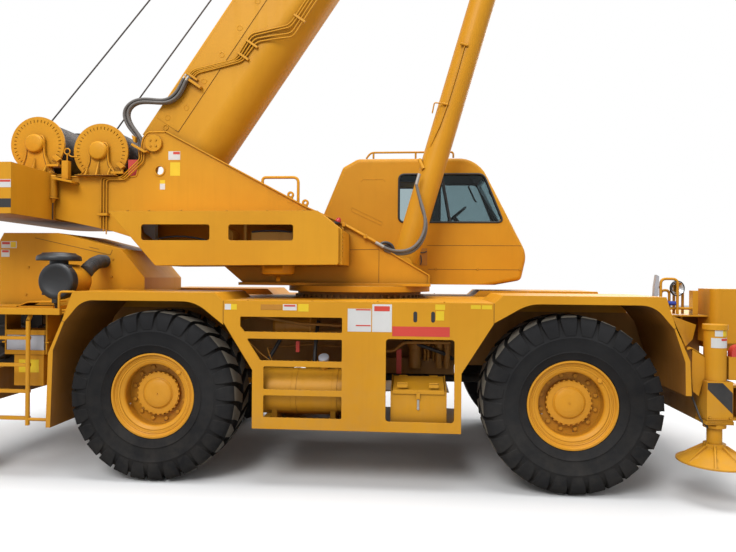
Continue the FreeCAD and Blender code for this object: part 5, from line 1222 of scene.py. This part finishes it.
black.done("cleaner_black", "root", "black_plastic", stands_for=["air_cleaner"], slot="black_plastic")
Gather().turned(cleaner_end + OUT_LEFT * 0.096, OUT_LEFT,
                [(0, 0), (0.166, 0), (0.168, 0.010), (0.168, 0.270), (0.160, 0.284), (0, 0.284)], 64).done(
    "cleaner_drum", "root", "yellow_enamel")
DUCT, DUCT_RIBS = [(-2.706, -1.010, 1.955), (-2.720, -0.940, 1.990), (-2.752, -0.760, 2.050), (-2.765, -0.620, 2.078),
                   (-2.770, -0.500, 2.080)], 16
duct_path, duct = places([DUCT])[0], Gather()
for i in range(DUCT_RIBS):
    t = i / (DUCT_RIBS - 1) * (len(duct_path) - 1.001)
    first, after = duct_path[int(t)], duct_path[int(t) + 1]
    duct.turned(first.lerp(after, t - int(t)), after - first,
                [(0, 0), (0.054, 0), (0.072, 0.010), (0.072, 0.020), (0.054, 0.034), (0, 0.044)], 28)
duct.done("cleaner_duct", "root", "hose_rubber")
straps = Gather()
for x in (-3.372, -2.930):
    straps.block(at(x - 0.018, -1.300, 1.260), at(x + 0.018, -1.160, 1.275))
straps.done("battery_straps", "root", "yellow_enamel")
BATTERY_CABLE = [[(-3.150, -1.100, 1.395), (-3.120, -1.020, 1.440), (-2.960, -0.900, 1.400), (-2.800, -0.700, 1.300)]]
tube(places(BATTERY_CABLE), "battery_cable", "root", "hose_rubber", 0.012, smooth=True)

# %% Loops, tray and bolts behind the rear wheel
deck_loop = sheet(-1.460, (-2.714, 1.560), (-2.713, 1.768), (-2.560, 1.768))
tube([deck_loop], "deck_loop", "root", "yellow_enamel", 0.012, 0.04)
for hand, side in HANDS:
    stay = sheet(side * 1.455, (-3.020, 0.556), (-2.820, 0.556))
    tube([stay], f"ladder_stay_{hand}", "root", "yellow_enamel", 0.015)
    dark = Gather()
    dark.block(at(-3.940, side * 0.780, 0.860), at(-3.300, side * 0.800, 1.540))
    for x, z, r in ((-3.560, 1.330, 0.060), (-3.700, 1.120, 0.085), (-3.420, 1.060, 0.050)):
        boss = [(0, 0), (r, 0), (r, 0.10), (r * 0.8, 0.12), (0, 0.12)]
        dark.turned(at(x, side * 0.800, z), Vector((0, side, 0)), boss, 24)
    dark.done(f"engine_side_{hand}", "root", "black_iron")
    hoses = [[(-3.900, side * 0.860, 1.420), (-3.700, side * 0.900, 1.300), (-3.600, side * 0.920, 1.480),
              (-3.400, side * 0.900, 1.380)],
             [(-3.850, side * 0.900, 1.050), (-3.640, side * 0.930, 1.000), (-3.500, side * 0.900, 1.200),
              (-3.420, side * 0.860, 1.500)]]
    tube(places(hoses), f"engine_hoses_{hand}", "root", "hose_rubber", 0.018, smooth=True)
tray_lip = sheet(-0.900, (-3.523, 1.596), (-3.405, 1.645), (-3.120, 1.650), (-3.120, 1.640), (-3.398, 1.634),
                 (-3.510, 1.588))
tray = Gather().prism(tray_lip, Vector((0, 0.25, 0))).block(at(-3.960, -0.900, 1.562), at(-3.120, -0.560, 1.600))
tray.done("rear_tray", "root", "yellow_enamel")
hood_spots = [(-3.639, 2.009), (-3.665, 1.708), (-2.668, 2.103), (-2.685, 1.910), (-3.300, 1.640), (-2.980, 1.640)]
seeds = [(at(x, side * HOOD, z), Vector((0, side, 0))) for x, z in hood_spots for side in BOTH]
seeds += [(at(-3.994, y, z), -AHEAD) for y in (-0.47, 0.47) for z in (1.64, 1.92, 2.22)]
bolts("hood_bolts", "root", seeds, 0.010)
deck_bolts = [(at(x, side * (PANEL - 0.035), 1.705), UP) for x in (-0.90, -0.30, 0.30, 0.90) for side in BOTH]
bolts("deck_bolts", "root", deck_bolts, 0.009)

# %% [markdown]
# ## Behind the side panels
# The openings show a tank with its straps and filler, pipes, filters and the tool box with its hinges and latch. The
# pipes are tables of points measured on the right side and mirrored to the left.

# %% Tank straps and filler
belts = Gather()
for x in (-0.500, -0.120):
    belts.turned(at(x, -1.210, 0.840), AHEAD, [(0.2150, 0), (0.2185, 0), (0.2185, 0.045), (0.2150, 0.045)], 48)
belts.bar(at(-0.217, -1.210, 1.040), at(-0.217, -1.260, 1.150), 0.040)
belts.done("tank_straps", "root", "yellow_enamel")
Gather().turned(at(-0.217, -1.262, 1.150), Vector((0, -0.6, 0.8)),
                [(0, 0), (0.050, 0), (0.050, 0.030), (0.040, 0.036), (0, 0.036)], 24).done("tank_filler", "root",
                                                                                           "case_grey")

# %% Pipes, filters and air tank, the same on both sides
INNER_PIPES = [(1.100, [(-0.900, 1.540), (-0.461, 1.470), (-0.020, 1.458)]),
               (0.900, [(-0.900, 1.300), (-0.600, 1.380), (-0.020, 1.380)]),
               (0.760, [(-0.880, 1.190), (-0.450, 1.230), (-0.020, 1.210)]),
               (1.050, [(0.330, 1.212), (0.430, 1.212), (0.530, 1.300), (0.980, 1.303)])]
THIN_PIPES = [(1.120, [(-0.985, 1.300), (-0.880, 1.190), (-0.770, 1.110)]),
              (1.100, [(-0.800, 1.230), (-0.780, 1.160), (-0.750, 1.100)])]
UPRIGHTS = [(0.720, [(x, 1.560), (x, 1.080)]) for x in (0.740, 0.775, 0.830, 0.880, 0.925, 0.965)]
INNER_HOSES = [[(-0.330, 0.900, 1.480), (-0.335, 1.080, 1.260), (-0.335, 1.080, 1.080)],
               [(-0.640, 0.700, 1.500), (-0.700, 0.950, 1.300), (-0.820, 0.960, 1.100)],
               [(0.350, 0.600, 1.420), (0.560, 0.900, 1.240), (0.900, 0.980, 1.240), (1.020, 0.700, 1.100)]]
AIR_TANK = [(0, 0), (0.070, 0.010), (0.088, 0.035), (0.088, 0.440), (0.070, 0.465), (0, 0.475)]
# Painted shade: the pipes, filters and air tank behind the panels take darker copies of the yellow.
for hand, side in HANDS:
    for name, lines, finish_name, radius in (("inner_pipes", INNER_PIPES, "under_paint", 0.016),
                                             ("thin_pipes", THIN_PIPES, "shaded_enamel", 0.006),
                                             ("upright_pipes", UPRIGHTS, "shaded_enamel", 0.013)):
        tube([sheet(side * y, *line) for y, line in lines], f"{name}_{hand}", "root", finish_name, radius)
    mirrored = [[at(x, side * y, z) for x, y, z in line] for line in INNER_HOSES]
    tube(mirrored, f"inner_hoses_{hand}", "root", "hose_rubber", 0.019, smooth=True)
    filters = Gather()
    for x, low, r in ((0.640, 1.010, 0.062), (0.880, 1.020, 0.034), (0.960, 1.020, 0.034)):
        can = [(0, 0), (r * 0.8, 0), (r, 0.015), (r, 0.200), (r * 1.15, 0.205), (r * 1.15, 0.260), (0, 0.262)]
        filters.turned(at(x, side * 0.800, low), UP, can, 24)
    filters.block(at(0.300, side * 0.620, 0.940), at(1.040, side * 0.690, 1.100))
    filters.done(f"filters_{hand}", "root", "under_paint")
    Gather().block(at(0.456, side * 0.860, 0.970), at(0.506, side * 0.905, 1.215)).done(f"red_post_{hand}", "root",
                                                                                        "label_red")
    Gather().block(at(-0.515, side * 1.090, 1.195), at(-0.480, side * 1.120, 1.300)).done(f"tap_{hand}", "root",
                                                                                          "label_red")
    air_tank = Gather().turned(at(-0.800, side * 0.850, 1.440), AHEAD, AIR_TANK, 36)
    for x in (-0.690, -0.440):
        air_tank.turned(at(x, side * 0.850, 1.440), AHEAD, [(0.088, 0), (0.092, 0), (0.092, 0.030), (0.088, 0.030)],
                        36)
    air_tank.bar(at(-0.394, side * 1.000, 1.320), at(-0.394, side * 1.000, 1.540), 0.010)
    air_tank.done(f"air_tank_{hand}", "root", "shaded_enamel")

# %% The tool box's hinges and latch, a pocket's painted shade and the steps' grip
box_y, lid_y = -TOOL_BOX - 0.0045, -TOOL_BOX - 0.0125
hinges = Gather()
for x0, x1 in ((0.481, 0.575), (0.770, 0.856)):
    hinges.block(at(x0, box_y, 0.924), at(x1, -TOOL_BOX, 0.957))
    hinges.turned(at(x0, box_y, 0.965), AHEAD, [(0, 0), (0.006, 0), (0.006, x1 - x0), (0, x1 - x0)], 12)
hinges.done("lid_hinges", "root", "yellow_enamel")
Gather().block(at(0.654, lid_y - 0.004, 0.822), at(0.690, lid_y, 0.880)).done("latch_hook", "tool_lid",
                                                                              "yellow_enamel")
catch = Gather().block(at(0.662, box_y, 0.740), at(0.682, -TOOL_BOX, 0.815))
catch.turned(at(0.672, -TOOL_BOX, 0.735), OUT_RIGHT, [(0, 0.007), (0.012, 0.007), (0.012, 0), (0, 0)], 16)
catch.done("latch_catch", "root", "bright_steel")
# Painted shade: a thin sheet in the darker yellow fills the pocket in the side panel.
Gather().block(at(-0.769, -PANEL - 0.0014, 1.623), at(-0.573, -PANEL, 1.671)).done("panel_pocket", "root",
                                                                                   "shaded_enamel")
grip = []
for z in (1.421, 1.159, 0.897, 0.640):
    for x in (-0.90 + 0.055 * i for i in range(3, 16)):
        if x > -0.72 or z > 1.2:
            grip += [(at(x, side * 1.483, z), UP) for side in BOTH]
bolts("step_grip", "root", grip, 0.006)

# %% [markdown]
# ## Front end
# Bent bars guard the front deck, with a mirror, a horn, a covered reel and folded plates beside the outrigger. The
# plates are cut to an outline and pushed to their thickness, as sheet is.

# %% Guards, mirror and horn
GUARDS = [[(2.956, 1.600), (2.955, 1.935), (3.109, 1.935), (3.109, 1.600)],
          [(2.977, 1.600), (2.977, 1.826), (3.054, 1.826), (3.054, 1.600)],
          [(3.117, 1.600), (3.117, 1.842), (3.198, 1.842), (3.198, 1.600)]]
guard_paths = [sheet(y, *line) for line, y in zip(GUARDS, (-1.00, -0.95, -0.90))]
guard_paths += [[at(3.020, -0.980, 1.655), at(3.262, -0.950, 1.655)]]
tube(guard_paths, "front_guards", "root", "yellow_enamel", 0.013, 0.05)
mirror_outline = sheet(-1.010, (2.891, 1.745), (2.901, 1.745), (2.933, 1.780), (2.937, 1.960), (2.913, 1.973),
                       (2.896, 1.860))
Gather().prism(mirror_outline, Vector((0, 0.050, 0))).done("front_mirror", "root", "case_grey")
horn_seat, horn_way = at(3.097, -0.955, 1.845), Vector((0.25, -1, 0))
mirror_arm = Gather().block(at(2.930, -0.990, 1.845), at(2.962, -0.965, 1.865))
mirror_arm.turned(horn_seat, horn_way, [(0.062, 0.030), (0.074, 0.034), (0.074, 0.052), (0.066, 0.054),
                                        (0.066, 0.046)], 36)
mirror_arm.done("mirror_arm", "root", "black_plastic")
HORN = [(0, 0), (0.030, 0), (0.045, 0.018), (0.066, 0.040), (0.070, 0.050), (0.063, 0.050), (0.040, 0.030),
        (0, 0.026)]
Gather().turned(horn_seat, horn_way, HORN, 32).done("front_horn", "root", "chrome_rod")
Gather().turned(at(3.026, -0.985, 1.704), AHEAD, [(0, 0), (0.021, 0), (0.021, 0.092), (0, 0.092)], 20).done(
    "reel_cover", "root", "blue_cover")

# %% Folded plates beside the front outriggers
SHEET = [(2.903, 1.420, 1.605), (3.259, 1.050, 1.507), (3.216, 1.080, 1.374), (3.016, 1.420, 1.350),
         (2.932, 1.420, 1.509)]
SLOPE = [(3.023, 1.322), (3.060, 1.334), (3.176, 1.262), (3.176, 1.250), (3.058, 1.322), (3.023, 1.310)]
FLAP = [(3.066, 1.322), (3.176, 1.256), (3.178, 1.066), (3.156, 1.037), (3.123, 0.907), (3.072, 0.949),
        (3.060, 1.100)]
jack_x = jack_middle("front_right") - SHIFT
tab_arc = [(jack_x + 0.178 + 0.068 * math.cos(a), 1.290 + 0.075 * math.sin(a))
           for a in [math.pi * i / 12 for i in range(13)]]
for hand, side in HANDS:
    plates = Gather()
    plates.prism([at(x, side * y, z) for x, y, z in SHEET], Vector((-0.010, 0, -0.008)))
    plates.prism(sheet(side * 1.300, *SLOPE), Vector((0, side * 0.120, 0)))
    plates.prism(sheet(side * 1.408, *FLAP), Vector((0, side * 0.012, 0)))
    plates.done(f"folded_plates_{hand}", "root", "yellow_enamel")
    bracket = Gather().block(at(jack_x + 0.085, side * 1.395, 1.062), at(jack_x + 0.250, side * 1.470, 1.262))
    bracket.done(f"end_bracket_{hand}", f"beam_front_{hand}", "yellow_enamel")
    tab = sheet(side * 1.395, (jack_x + 0.246, 1.262), *tab_arc, (jack_x + 0.110, 1.262))
    Gather().prism(tab, Vector((0, side * 0.075, 0))).done(f"red_tab_{hand}", f"beam_front_{hand}", "label_red")
for corner, (_, side) in WHEEL_PLACES.items():
    x, body = jack_middle(corner), f"beam_{corner}"
    ledges = Gather()
    for z in (0.722, 0.694):
        ledges.block(Vector((x - 0.112, side * 1.330, z)), Vector((x + 0.112, side * 1.512, z + 0.006)))
    ledges.done(f"end_ledges_{corner}", body, "yellow_enamel")
    hose = [Vector((x + dx, side * y, z)) for dx, y, z in ((-0.150, 1.300, 0.900), (-0.128, 1.440, 0.700),
                                                           (-0.070, 1.450, 0.640))]
    tube([hose], f"jack_hose_{corner}", body, "hose_rubber", 0.009, 0.05)
print("front end set")

# %% [markdown]
# ## Several finishes on one solid
# A solid can be black at one end and yellow at the other. These rules look at each face's middle and way, and pick the
# finish from there. Some rules paint shade: the fender faces turned to the wheel take a darker finish, the chassis'
# middle and the inner and lower faces of the outrigger boxes keep a darker copy of the yellow, and the faces inside the
# valve box's slot take a brighter one, which paints light.

# %% Rules by place
def repaint(cad_node, rules):
    mesh = skins[cad_node].data
    for finish_name, test in rules:
        mesh.materials.append(materials[finish_name])
        slot = len(mesh.materials) - 1
        for face in mesh.polygons:
            if test(face.center - Vector((SHIFT, 0, 0)), face.normal):
                face.material_index = slot


repaint("battery_box", [("case_grey", lambda p, n: 1.192 < p.z < 1.341 and -3.345 < p.x < -2.957 and abs(n.z) < 0.5)])
CAB_MIDDLE = Vector((0.70, 0.905, 2.60))
repaint("cab_shell", [("cab_lining", lambda p, n: n.dot(CAB_MIDDLE - p) > 0)])
# Painted light: faces inside the valve box's slot take the brighter slot finish.
SLOT_MIDDLE = Vector((-1.1, -0.8, 2.3))
repaint("valve_box", [("slot_paint", lambda p, n: p.y > -1.159 and p.z > 2.03 and p.x < -0.110
                       and n.dot(SLOT_MIDDLE - p) > 0)])
for hand in DRUM_PLACES:
    repaint(f"drum_{hand}", [("black_iron", lambda p, n: abs(p.y) < 0.387)])
repaint("lamps", [("white_plate", lambda p, n: p.x > 0)])
hook_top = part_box("hook_block")[1].z
repaint("hook_block", [("wire_rope", lambda p, n: p.z > hook_top - 0.62),
                       ("black_iron", lambda p, n: p.z < hook_top - 1.02)])
# Painted shade: fender faces turned towards the wheel take the darker fender finish.
for name, x in (("front_fenders", 1.925), ("rear_fenders", -1.925)):
    repaint(name, [("wheel_well", lambda p, n: abs(n.y) < 0.5 and p.z < 1.69
                    and n.dot(Vector((x, p.y, AXLE_Z)) - p) > 0)])
# Painted shade: only the chassis ends are bright yellow; its middle, under the deck, keeps the darker copy of the
# yellow.
repaint("chassis", [("yellow_enamel", lambda p, n: p.x > 3.10 or p.x < -3.56)])
# Painted shade: the outer parts, outward ends and tops of the outrigger boxes are bright yellow; their inner and lower
# faces keep the darker copy.
repaint("outrigger_boxes", [("yellow_enamel", lambda p, n: abs(p.y) > 0.6 or n.x * p.x > 0.5 or n.z > 0.5)])
print("finishes by place set")

# %% [markdown]
# ## Stage and light
# A pale floor and a pale sky stand in for a studio. Camera, glossy and transmission rays see them almost white, while
# the light that reaches the crane stays at a plain level, so the enamel renders as it is written.

# %% Floor, sky and lamps
floor_mesh = bpy.data.meshes.new("studio_floor")
floor_mesh.from_pydata([(-40, -40, -0.004), (40, -40, -0.004), (40, 40, -0.004), (-40, 40, -0.004)], [],
                       [(0, 1, 2, 3)])
floor = bpy.data.objects.new("studio_floor", floor_mesh)
bpy.context.scene.collection.objects.link(floor)
floor_finish = bpy.data.materials.new("studio_floor")
floor_finish.use_nodes = True
floor_tree = floor_finish.node_tree
floor_shader = floor_tree.nodes["Principled BSDF"]
seen = node(floor_tree, "ShaderNodeLightPath").outputs["Is Camera Ray"]
floor_tone = mix_colour(floor_tree, seen, (0.38, 0.37, 0.36, 1), (0.80, 0.80, 0.80, 1))
floor_tree.links.new(floor_tone, floor_shader.inputs["Base Color"])
floor_shader.inputs["Roughness"].default_value = 0.9
floor_mesh.materials.append(floor_finish)

world = bpy.data.worlds.new("studio_sky")
bpy.context.scene.world = world
world.use_nodes = True
sky = world.node_tree
sky.nodes.clear()
ray = node(sky, "ShaderNodeLightPath")
seen = math_node(sky, "MAXIMUM", ray.outputs["Is Camera Ray"],
                 math_node(sky, "MAXIMUM", ray.outputs["Is Glossy Ray"], ray.outputs["Is Transmission Ray"]))
plain = node(sky, "ShaderNodeBackground", Color=(0.94, 0.97, 1.0, 1), Strength=0.55)
bright = node(sky, "ShaderNodeBackground", Color=(1, 1, 1, 1), Strength=1.0)
both = node(sky, "ShaderNodeMixShader", _0=seen, _1=plain.outputs[0], _2=bright.outputs[0])
sky_out = sky.nodes.new("ShaderNodeOutputWorld")
sky.links.new(both.outputs[0], sky_out.inputs[0])

LAMPS = [  # name, place, aim, size, watts
    ("key_lamp", (-5, -15, 15), (0, 0, 2.0), 10.0, 2300),
    ("top_lamp", (1, -1, 22), (0, 0, 0), 14.0, 3700),
    ("far_lamp", (9, 14, 10), (0, 0, 2.5), 9.0, 900),
]
for name, spot, aim, size, power in LAMPS:
    lamp_data = bpy.data.lights.new(name, "AREA")
    lamp_data.shape, lamp_data.size, lamp_data.energy = "DISK", size, power
    lamp = bpy.data.objects.new(name, lamp_data)
    lamp.location = spot
    lamp.rotation_euler = (Vector(aim) - Vector(spot)).to_track_quat("-Z", "Y").to_euler()
    bpy.context.scene.collection.objects.link(lamp)
bpy.context.scene.view_settings.view_transform = "Standard"
